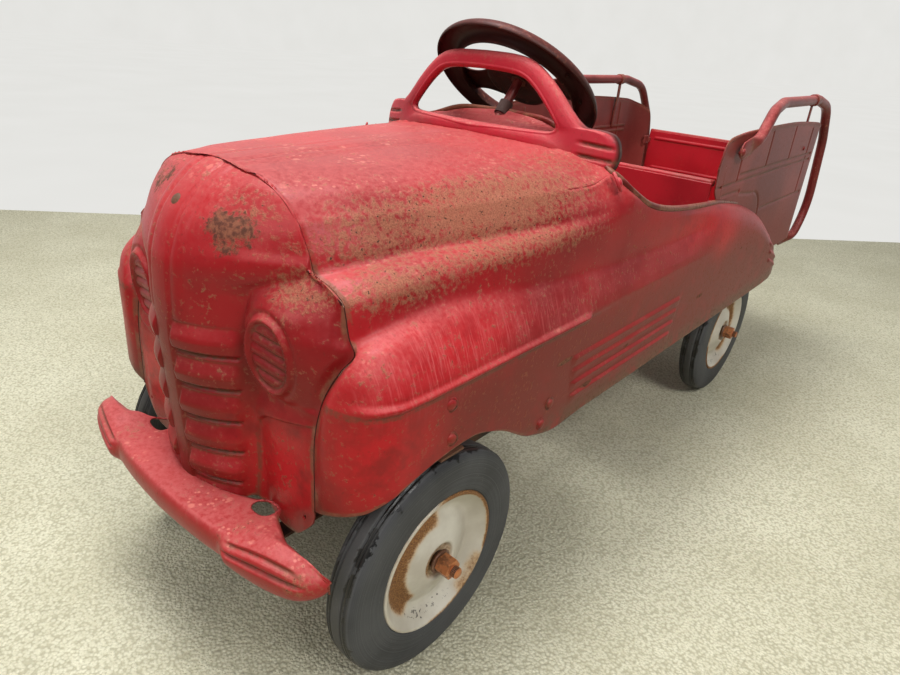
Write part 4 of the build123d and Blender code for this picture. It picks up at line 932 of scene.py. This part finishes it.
def make_bumper():
    u = np.linspace(0, 1, 150)
    x = BUMPER_X[-1] * np.sin(u * math.pi / 2) ** 0.9
    front, top, low, rear = (curve_through(BUMPER_X, v, x) for v in (BUMPER_S, BUMPER_TOP, BUMPER_LOW, BUMPER_REAR))
    mid = (top + low) / 2
    blunt = np.sqrt(np.clip(1 - (np.clip(x - 146, 0, None) / 18.3) ** 2, 0.004, 1))
    top, low = mid + (top - mid) * blunt, mid + (low - mid) * blunt
    guard = smoothstep(x, 76, 92)
    rows = []
    face_t = np.linspace(0, 1, 44)
    for t in face_t:                      # front face, from its foot up and over the lip
        angle = (t - 0.5) * math.pi * 0.92
        round_s = 1 - np.cos(angle) ** 0.55
        bulge = (5.5 * guard + 1.6) * np.cos(angle) ** 1.2 * blunt
        half = (top - low) / 2
        z = mid + half * np.sin(angle) / math.sin(math.pi * 0.46)
        s = front + (5 + 5 * guard) * round_s * blunt - bulge + 1.6
        for groove in BUMPER_GROOVES:
            fade = 40 * (groove - 0.6)
            depth = 3.0 * bump_at(t, groove, 0.055) * smoothstep(x, 84, 94) * smoothstep(x, 158 - fade, 148 - fade)
            s = s + depth * np.cos(angle)
            z = z - depth * np.sin(angle) * 0.6
        rows.append(np.stack([x, s, z], -1))
    lip = rows[-1]
    for t in np.linspace(0, 1, 26)[1:]:   # shelf
        s = lip[:, 1] + (np.maximum(rear, lip[:, 1] + 1.5 * blunt) - lip[:, 1]) * t
        crown = 1.4 * np.sin(t * math.pi) * guard
        drop = 3.0 * smoothstep(t, 0.85, 1.0) + guard * 6 * smoothstep(t, 0.3, 1.0) * smoothstep(x, 100, 120)
        rows.append(np.stack([x, s, lip[:, 2] + crown - drop], -1))
    grid = np.array(rows)
    gx, gs, gz = grid[..., 0], grid[..., 1], grid[..., 2]
    shelf = np.arange(len(rows))[:, None] >= len(face_t)
    # rounded cut-outs either side of the nose's foot
    apart = [np.abs((v - c) / r) ** 3 for v, c, r in zip((gx, gs), CUT_CENTRE, CUT_RADII)]
    apart = (apart[0] + apart[1]) ** (1 / 3)
    pull = shelf & (apart > 0.72) & (apart < 1.0)
    grow = np.where(pull, 1 / np.maximum(apart, 0.1), 1)
    gx, gs = (c + (v - c) * grow for v, c in zip((gx, gs), CUT_CENTRE))
    hole = shelf & (apart < 0.999)
    grime = np.zeros_like(gx)
    t = np.concatenate([face_t, np.full(len(rows) - len(face_t), 2.0)])[:, None]
    # darker along the grooves, and painted shade where the face turns under at its foot
    for groove in BUMPER_GROOVES:
        grime = np.maximum(grime, 0.8 * bump_at(t, groove, 0.05) * smoothstep(gx, 86, 94) * smoothstep(gx, 156, 146))
    grime = np.maximum(grime, 0.5 * smoothstep(t, 0.06, 0.0) * (t < 1))
    wear = np.zeros_like(gx)
    wear[:2], wear[-2:], wear[:, -3:] = 1, 1, 1
    shell = Shell()
    shell.grid(np.stack([gx, gs, gz], -1), skip=hole.ravel(), grime=grime, wear=wear)
    shell.build("bumper_blade", BUMPER_RED, "chassis", "red_enamel", "front_bumper", thickness=1.4, mirror=True)


make_bumper()

# --- steering wheel
TILT = math.radians(38.5)
COLUMN_DIR = np.array([0, math.sin(TILT), math.cos(TILT)])
HUB = np.array([0, 270.0, 453.0])


def make_steering_wheel():
    shell = Shell()
    rim = smooth_profile(table("""
        66 0.5  66.2 4  67.5 8.5  70.5 11.6  75 12.8  81 12.6  86.5 10.6  90.2 7  91.8 2.5  91.4 0  90.2 0.2
        89.6 3  87.6 7  84.5 9.6  80.5 11.2  75.5 11.4  71.8 10.2  69.4 7.6  68 4  67.6 0.6  66.8 -0.2
        66 0.5"""), 76)
    grid = lathe(rim, HUB, COLUMN_DIR, 144)
    # painted shade: the inside of the rim's channel is darkened
    inside = np.zeros(grid.shape[:2])
    inside[40:72] = 1
    shell.grid(grid, wrap_columns=True, seam=0.9 * inside)
    # dished hub disc and two broad spokes
    disc = smooth_profile(table("""
        5.2 12.5  10 12.2  15 10  24 8.8  31 8.6  34.5 7.4  35.5 6.2  34.5 6  30 7.2  22 7.4  13 8.6
        5.2 10.8"""), 34)
    grid = lathe(disc, HUB, COLUMN_DIR, 72)
    shell.grid(grid, wrap_columns=True)
    side_dir, fore = np.array([1.0, 0, 0]), np.cross(COLUMN_DIR, [1.0, 0, 0])
    for side in (1, -1):
        reach, across = np.linspace(28, 69.5, 24)[:, None], np.linspace(-1, 1, 25)[None]
        width = 19.5 - 5.5 * np.sin((reach - 28) / 41.5 * math.pi) + 2.5 * smoothstep(reach, 60, 69)
        rise = (8.2 + 1.2 * smoothstep(reach, 55, 68) + 1.3 * np.cos(across * math.pi / 2)
                - 1.5 * smoothstep(np.abs(across), 0.86, 1))
        grid = (HUB + (side * reach * np.ones_like(across))[..., None] * side_dir
                + (width * across)[..., None] * fore + rise[..., None] * COLUMN_DIR)
        lower = grid - 1.5 * COLUMN_DIR
        closed = np.concatenate([grid, lower[:, ::-1]], 1)
        shell.grid(closed, wrap_columns=True)
    shell.build("wheel_rim", WHEEL_BROWN, "steering", "brown_enamel", "steering_wheel")


make_steering_wheel()

# --- road wheels
# Radius and distance out from the tyre's outer face
TYRE_HALF = table("""
    64.9 -1.6  65.4 -0.5  67.5 0.3  72 0.7  82 0.8  91 0.4  95.5 -0.5  98.6 -2.2  100.4 -4.4  100.9 -5.4
    99.5 -5.9  99.3 -6.7  101 -7.3  101.2 -8.4  99.6 -8.9  99.5 -9.7  101.3 -10.4  101.6 -12  101.6 -15""")
DISC_FACE = table("""
    64.9 -1.4  64.5 -0.1  63.2 0.5  61.6 0  59.6 -2  56.2 -5.2  52 -8.8  48 -11  44.4 -11.4  41 -10.2  36 -7.6
    30 -5.2  24 -3.2  20.5 -2  18.4 -1.3  16.6 -1.9  15.2 -3.8  13 -5  8 -5.2""")
HALF_TREAD = 15.0
NUT_R = 9.2          # to a corner


def wheel_angle(grid, axle_s):
    """Angle of points about an axle, from the rear upwards, in degrees."""
    return np.degrees(np.arctan2(grid[..., 2] - AXLE_Z, grid[..., 1] - axle_s)) % 360


def arc(angle, start, end, soft=18):
    """1 between two angles, counted upwards, with soft ends."""
    along = (angle - start) % 360
    return smoothstep(along, 0, soft) * smoothstep(along, end - start, end - start - soft)


def make_wheel(name, axle_s, side, body, seed):
    face_x = (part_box(name + "_tyre")[1 if side > 0 else 0].x) / MM
    hub, axis = np.array([face_x, axle_s, AXLE_Z]), np.array([side, 0, 0])
    half = np.concatenate([smooth_profile(TYRE_HALF[:9], 40), TYRE_HALF[9:]])
    far = half[::-1][1:].copy()
    far[:, 1] = -2 * HALF_TREAD - far[:, 1]
    profile = np.concatenate([half, far])
    profile = np.concatenate([profile, [(64.0, -2 * HALF_TREAD + 1.6), (64.0, -1.6), (64.9, -1.6)]])
    grid = lathe(profile, hub, axis, 160)
    depth = np.minimum(-profile[:, 1], profile[:, 1] + 2 * HALF_TREAD)
    edge = np.exp(-((depth - 6.5) / 4.5) ** 2) * (profile[:, 0] > 95)
    shell = Shell()
    shell.grid(grid, wrap_columns=True, radius=profile[:, :1] * MM, wear=edge[:, None],
               grime=0.25 * smoothstep(profile[:, :1], 99, 101.4))
    shell.build(name + "_rubber", TYRE_RUBBER, body, "tyre_rubber", name + "_tyre")

    face = smooth_profile(DISC_FACE, 90)
    back = face[::-1].copy()
    back[:, 1] = -2 * HALF_TREAD - back[:, 1]
    profile = np.concatenate([face[::-1], back[::-1]])
    grid = lathe(profile, hub, axis, 128)
    angle = wheel_angle(grid, axle_s)
    radius = np.broadcast_to(profile[:, :1], grid.shape[:2])
    ring = np.exp(-((radius - 44.0) / 10.8) ** 4) * arc(angle + seed, 72, 245, 26)
    rusty = 0.75 * arc(angle + seed, 330, 460) + 0.40 * arc(angle + seed, 250, 330) + 0.30
    lip = smoothstep(radius, 59, 63.5) * rusty
    foot = 0.55 * arc(angle + seed, 285, 345) * smoothstep(radius, 50, 60)
    socket = 0.55 * smoothstep(radius, 20, 14)
    rust = np.clip(np.maximum.reduce([0.95 * ring, lip, foot, socket]), 0, 1)
    soot = (arc(angle, 215, 305) * np.exp(-((radius - 54) / 7) ** 2)
            + 0.4 * arc(angle, 40, 130) * np.exp(-((radius - 50) / 5) ** 2))
    shell = Shell()
    shell.grid(grid, wrap_columns=True, rust=rust, grime=soot)
    sleeve = lathe(table("4.9 0.6  10.2 0.6  10.9 0.1  10.9 -1.6  7.5 -2.6  7.5 -39.7  4.9 -39.7"), hub, axis, 48)
    collar = Shell()
    collar.grid(sleeve, wrap_columns=True)
    collar.build(name + "_collar", HUB_STEEL, body, "hub_steel", name + "_hub")
    shell.build(name + "_disc", cream_enamel(name + "_cream", seed * 0.013 + side), body, "cream_enamel",
                name + "_wheel_disc")


def add_nut(shell, centre, axis, radius, start, height, tip):
    """Chamfered hexagon nut, and the threaded end of its axle."""
    turns = 72
    turn = np.arange(turns) * 2 * math.pi / turns
    hexagon = np.cos(math.pi / 6) / np.cos((turn % (math.pi / 3)) - math.pi / 6)
    rows = []
    for h, size in ((start, 0.80), (start + 0.2, 1.0), (start + height - 1.6, 1.0), (start + height - 0.6, 0.93),
                    (start + height, 0.80), (start + height, 0.5)):
        reach = radius * np.minimum(hexagon, 1.0 if size == 1.0 else size + 0.04) * (1 if size >= 0.9 else size)
        u, v = np.array([0, 1.0, 0]), np.array([0, 0, 1.0])
        rows.append(centre + h * axis + (reach * np.cos(turn))[:, None] * u + (reach * np.sin(turn))[:, None] * v)
    shell.grid(np.array(rows), wrap_columns=True)
    thread = [(4.7, start + height - 0.5)]
    h = start + height
    while h < tip - 1.2:
        thread += [(4.9, h + 0.35), (4.2, h + 0.85)]
        h += 1.1
    thread += [(4.3, tip - 0.6), (3.4, tip), (0.01, tip)]
    grid = lathe(thread, centre, axis, 40)
    shell.grid(grid, wrap_columns=True)


REAR_BODIES = {1: "crank", -1: "rear_right_wheel"}
for side, word in ((1, "left"), (-1, "right")):
    make_wheel(f"front_{word}", 0.0, side, f"front_{word}_wheel", 0.0 if side > 0 else 140.0)
    make_wheel(f"rear_{word}", WHEEL_BASE, side, REAR_BODIES[side], 150.0 if side > 0 else 60.0)
    shell = Shell()
    nut_low, nut_high = (v.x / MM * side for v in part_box(f"front_axle_nut_{word}"))
    start, end = min(nut_low, nut_high), max(nut_low, nut_high)
    axle_tip = max(abs(v.x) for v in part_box(f"steering_knuckle_{word}")) / MM
    add_nut(shell, np.array([0, 0, AXLE_Z]), np.array([side, 0, 0]), NUT_R, start - 6.4, end - start + 6.4,
            axle_tip + 1.5)
    shell.build(f"front_nut_{word}", NUT_STEEL, f"knuckle_{word}", "rusty_nut", f"front_axle_nut_{word}", crease=35)
rear_tip = max(v.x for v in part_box("crank_axle")) / MM
nut_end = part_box("rear_axle_nuts")[1].x / MM
shell = Shell()
for side in (1, -1):
    add_nut(shell, np.array([0, WHEEL_BASE, AXLE_Z]), np.array([side, 0, 0]), NUT_R, nut_end - 12.9, 12.9,
            rear_tip + 1)
shell.build("rear_nuts", NUT_STEEL, "crank", "rusty_nut", "rear_axle_nuts", crease=35)

# --- wagon sides
PANEL_TOP = ([456, 457.5, 460, 464, 470, 478, 500, 535, 700, 860, 905, 922, 929, 931.5],
             [384, 395, 402, 407.5, 411.5, 414.5, 417, 419, 421, 414.5, 405, 398, 392, 384])
PANEL_LOW = ([456, 457.5, 460, 463, 470, 481, 483, 931.5], [380, 364, 357, 352, 345, 338, 226, 224])
PANEL_X = 165.5


def make_side_panel(side, word):
    start, end = PANEL_TOP[0][0], PANEL_TOP[0][-1]
    s = np.concatenate([start + 25 * np.linspace(0, 1, 26) ** 1.6, np.linspace(482, end, 250)])[:, None]
    t = np.linspace(0, 1, 150)[None]
    top, low = curve_through(*PANEL_TOP, s[:, 0])[:, None], np.interp(s, *PANEL_LOW)
    z = low + (top - low) * t
    s = np.broadcast_to(s, z.shape)
    # the rear end curves in to meet the tailgate
    turned = np.clip((s - 868) / 63.5, 0, 1)
    x = PANEL_X - 20.5 * turned ** 2
    out = 1.0 * bump_at(top - z, 2.2, 2.4) + 0.8 * bump_at(s, 458.5, 3)
    line = np.zeros_like(z)
    lines = (
        (np.abs(z - 357 - (s - 545) * 0.004), (s > 466) & (s < 866)),
        (np.abs(z - 367 - (s - 867) * 0.004), (s > 535) & (s < 868)),
        (np.abs(z - 306), (s > 661) & (s < 868)),
        (np.abs(s - 530), (z > 358) & (z < 408)),
        (np.abs(s - 636), (z > 366) & (z < 414)),
        (np.abs(s - 741), (z > 366) & (z < 414)),
        (np.abs(s - 838), (z > 306) & (z < 408)),
        (np.abs(z - 344.5), (s > 486) & (s < 552)),
    )
    for apart, where in lines:
        line = np.maximum(line, bump_at(apart, 0, 2.6) * where)
    arch = np.where(s < 612, z - (340 - (s - 556) * 0.10), np.hypot((s - 612) * 0.93, z - 296) - 39)
    arch = np.where((s > 556) & (s < 660) & (z > 285), np.abs(arch), 99)
    line = np.maximum(line, bump_at(arch, 0, 2.6))
    # painted shade in a band just under the rolled top edge; the pressed lines are darkened as well
    edge = bump_at(top - z, 5.6, 1.6)
    out -= 1.5 * line
    p = np.stack([side * (x + out), s, z], -1)
    shell = Shell()
    shell.grid(p, grime=np.clip(0.75 * line + 0.5 * edge, 0, 1), wear=smoothstep(top - z, 3, 1))
    shell.build(f"side_panel_{word}", FADED_RED, "chassis", "faded_red_enamel", f"wagon_side_panel_{word}",
                thickness=1.2)


RAIL_CORNERS = table("""
    171.5 497 396  172.8 530 403  172 560 411  168 604 440  161 660 447.5  161 838 447.5  161 905 436  160 950 380
    159.5 985 262  157 950 214  148 925 211  146 903 211""", 3)


def make_rail(side, word):
    path = rounded_path([(side * x, s, z) for x, s, z in RAIL_CORNERS], [30, 30, 50, 60, 60, 60, 60, 80, 30, 14, 14])
    length = lengths_along(path)
    flat = np.maximum(smoothstep(length, 52, 30), smoothstep(length, length[-1] - 38, length[-1] - 20))
    round_end = np.minimum(*(np.sqrt(np.clip(v / 10, 0.02, 1)) for v in (length, length[-1] - length)))
    shell = Shell()
    grid = swept(path, 7.0 - 4.9 * flat, (7.0 + 4.0 * flat) * round_end, (1, 0, 0), 24)
    shell.grid(grid, wrap_columns=True, wear=np.concatenate([[1], flat, [1]])[:, None])
    dome(shell, (side * 173.0, 503, 397), (side, 0, 0), 5.0, 3.0)
    shell.build(f"rail_{word}", RAIL_RED, "chassis", "faded_red_enamel", f"hand_rail_{word}")


for side, word in ((1, "left"), (-1, "right")):
    make_side_panel(side, word)
    make_rail(side, word)

shell = Shell()
for side in (1, -1):
    turn = np.linspace(0, 2 * math.pi, 49)
    ring = np.stack([side * 161 + 8.6 * np.cos(turn), np.full(49, 814.0), 447.5 + 8.6 * np.sin(turn)], 1)
    rows = [ring + (0, -5.5, 0), ring + (0, 5.5, 0)]
    middle = np.array([side * 161, 814, 447.5])
    inner = [middle + (row - middle) * [0.84, 1, 0.84] for row in rows]
    bevel = (0, 0.5, 0)
    shell.grid(np.array([inner[0], rows[0], rows[0] + bevel, rows[1] - bevel, rows[1], inner[1]]), wear=0.7)
    strap = np.array([(side * 160, 814, z) for z in np.linspace(440, 366, 30)])
    strap[:, 0] += side * 2.2 * smoothstep(strap[:, 2], 420, 380)
    shell.grid(swept(strap, 1.2, 4.5, (1, 0, 0), 16, power=0.6), wrap_columns=True, wear=0.6)
    dome(shell, (side * 166, 814, 378), (side, 0, 0), 3.2, 1.6)
shell.build("rail_bands", RAIL_RED, "chassis", "faded_red_enamel", "rail_clips")

# --- tailgate and seat
def flat_panel(name, material, body, slot, node, half_w, foot, top, station, lean, lines, roll):
    """Upright sheet with pressed lines and a rolled top edge, its front face at a station."""
    x, t = np.linspace(-half_w, half_w, 150)[:, None], np.linspace(0, 1, 110)[None]
    z = foot + (top - foot) * t
    x, z = np.broadcast_arrays(x, z)
    relief, grime = np.zeros_like(z), np.zeros_like(z)
    for height, inset in lines:
        within = smoothstep(np.abs(x), half_w - inset, half_w - inset - 4)
        relief = relief + 1.6 * bump_at(z, height, 3.0) * within
        # painted shade just below each pressed line
        grime = np.maximum(grime, 0.5 * bump_at(z, height - 3.5, 1.8) * within)
    s = station + lean * (z - foot) / (top - foot) - relief
    shell = Shell()
    shell.grid(np.stack([x, s, z], -1), grime=grime)
    bar = np.linspace(-half_w, half_w, 60)
    path = np.stack([bar, np.full_like(bar, station + lean + roll), np.full_like(bar, top)], 1)
    shell.grid(swept(path, roll, roll, (0, 0, 1), 18), wrap_columns=True, wear=0.3)
    shell.build(name, material, body, slot, node, thickness=1.2)


gate_low, gate_high = (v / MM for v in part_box("tailgate"))
flat_panel("tailgate_panel", BRIGHT_RED, "tailgate", "bright_red_enamel", "tailgate", gate_high.x,
           gate_low.z + 1, gate_high.z - 3, gate_high.y - FRONT_Y - 6.0, 0.0, [(344, 10), (290, 12), (246, 12)], 3.0)
back_low, back_high = (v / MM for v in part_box("seat_back"))
flat_panel("seat_back_panel", BRIGHT_RED, "chassis", "bright_red_enamel", "seat_back", back_high.x,
           back_low.z + 1, back_high.z - 4, 455.0, 11.0, [], 4.0)

# --- rivets
shell = Shell()
for side in (1, -1):
    for s, z in ((-17, 266), (-14, 236), (121, 211), (111, 194)):
        outward = np.array([side, -0.35 if s < 0 else 0.0, 0.0])
        outward /= np.linalg.norm(outward)
        on_side = np.array([side * (179.6 if s > 0 else 179.2), s, z])
        washer = lathe([(6.2, -1.0), (6.2, 0.5), (5.0, 0.8)], on_side, outward, 24)
        shell.grid(washer, wrap_columns=True, grime=0.8)
        dome(shell, on_side + 0.4 * outward, outward, 4.6, 2.2, wear=0.3)
shell.build("side_rivets", RED_BODY, "chassis", "red_enamel", "body_rivets")

# --- CAD nodes that stay
NODE_MATERIALS = {
    "seat_pan": BRIGHT_RED, "bed_floor": BRIGHT_RED, "tailgate_catches": FADED_RED,
    "steering_column": RAIL_RED, "rear_axle_bushes": BRONZE, "column_grommet": BOOT_BROWN,
    "pedal_left": BLACK_RUBBER, "pedal_right": BLACK_RUBBER,
}
for name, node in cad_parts.items():
    material = NODE_MATERIALS.get(name, HUB_STEEL if name.endswith("_hub") else DARK_STEEL)
    node.data.materials.clear()
    node.data.materials.append(material)


# --- stage and light
def make_stage():
    n = Nodes("floor_pale")
    tufts = n.add("TexVoronoi", props={"feature": "F1"}, i0=n.at, Scale=340.0, Randomness=1.0)
    weave, soft = n.noise(170, 4, 0.7), n.noise(5, 4)
    mixed = n.plus(n.times(weave, 0.6), n.times(soft, 0.5))
    colour = n.mix(n.step(mixed, 0.40, 0.70), (0.49, 0.465, 0.33), (0.62, 0.60, 0.455))
    colour = n.mix(n.times(n.step(tufts, 0.35, 0.8), 0.7), colour, (0.33, 0.31, 0.21))
    relief = n.minus(n.times(weave, 0.6), tufts)
    floor_material = n.finish(colour, 0.95, relief, bump=0.6, distance=0.004)
    n = Nodes("backdrop_pale")
    soft = n.noise(2, 2)
    wall = n.mix(soft, (0.75, 0.745, 0.715), (0.80, 0.795, 0.77))
    wall_material = n.finish(n.mix(soft, (0.012, 0.012, 0.012), (0.016, 0.016, 0.016)), 1.0, Emission_Color=wall,
                             Emission_Strength=1.0, Specular_IOR_Level=0.0)
    # the carpet ends where the photograph's wall begins; a pale sweep goes on from there and rises far behind
    edge, along = Vector((-1.2424, 0.089, 0)), Vector((1, 1.099, 0)).normalized()
    away, up = Vector((-along.y, along.x, 0)), Vector((0, 0, 14))
    ends = [edge - 40 * along, edge + 40 * along]
    behind = [end + 12 * away for end in ends]
    for name, corners, material in (
            ("floor", [*ends, ends[1] - 40 * away, ends[0] - 40 * away], floor_material),
            ("backdrop", [*ends, *behind[::-1]], wall_material),
            ("far_backdrop", [*behind, behind[1] + up, behind[0] + up], wall_material)):
        mesh = bpy.data.meshes.new(name)
        mesh.from_pydata(corners, [], [list(range(len(corners)))])
        mesh.materials.append(material)
        made = bpy.data.objects.new(name, mesh)
        bpy.context.scene.collection.objects.link(made)


def area_light(name, place, target, size, power, colour=(1, 1, 1)):
    data = bpy.data.lights.new(name, "AREA")
    data.shape, data.size, data.size_y, data.energy, data.color = "RECTANGLE", size[0], size[1], power, colour
    made = bpy.data.objects.new(name, data)
    made.location = place
    made.rotation_mode = "QUATERNION"
    made.rotation_quaternion = (Vector(target) - Vector(place)).to_track_quat("-Z", "Y")
    bpy.context.scene.collection.objects.link(made)


make_stage()
area_light("top_light", (-0.35, -0.45, 2.3), (0, 0, 0.2), (1.0, 1.0), 58)
area_light("window_light", (0.2, -2.3, 1.7), (0, -0.2, 0.3), (1.3, 1.0), 18, (1, 0.98, 0.95))
area_light("fill_light", (1.7, -0.7, 2.0), (0, 0, 0.25), (0.9, 0.8), 34, (1, 0.99, 0.97))
world = bpy.data.worlds.new("pale_world")
world.use_nodes = True
world.node_tree.nodes["Background"].inputs[0].default_value = (0.95, 0.96, 1, 1)
world.node_tree.nodes["Background"].inputs[1].default_value = 0.19
bpy.context.scene.world = world
bpy.context.scene.view_settings.view_transform = "Standard"
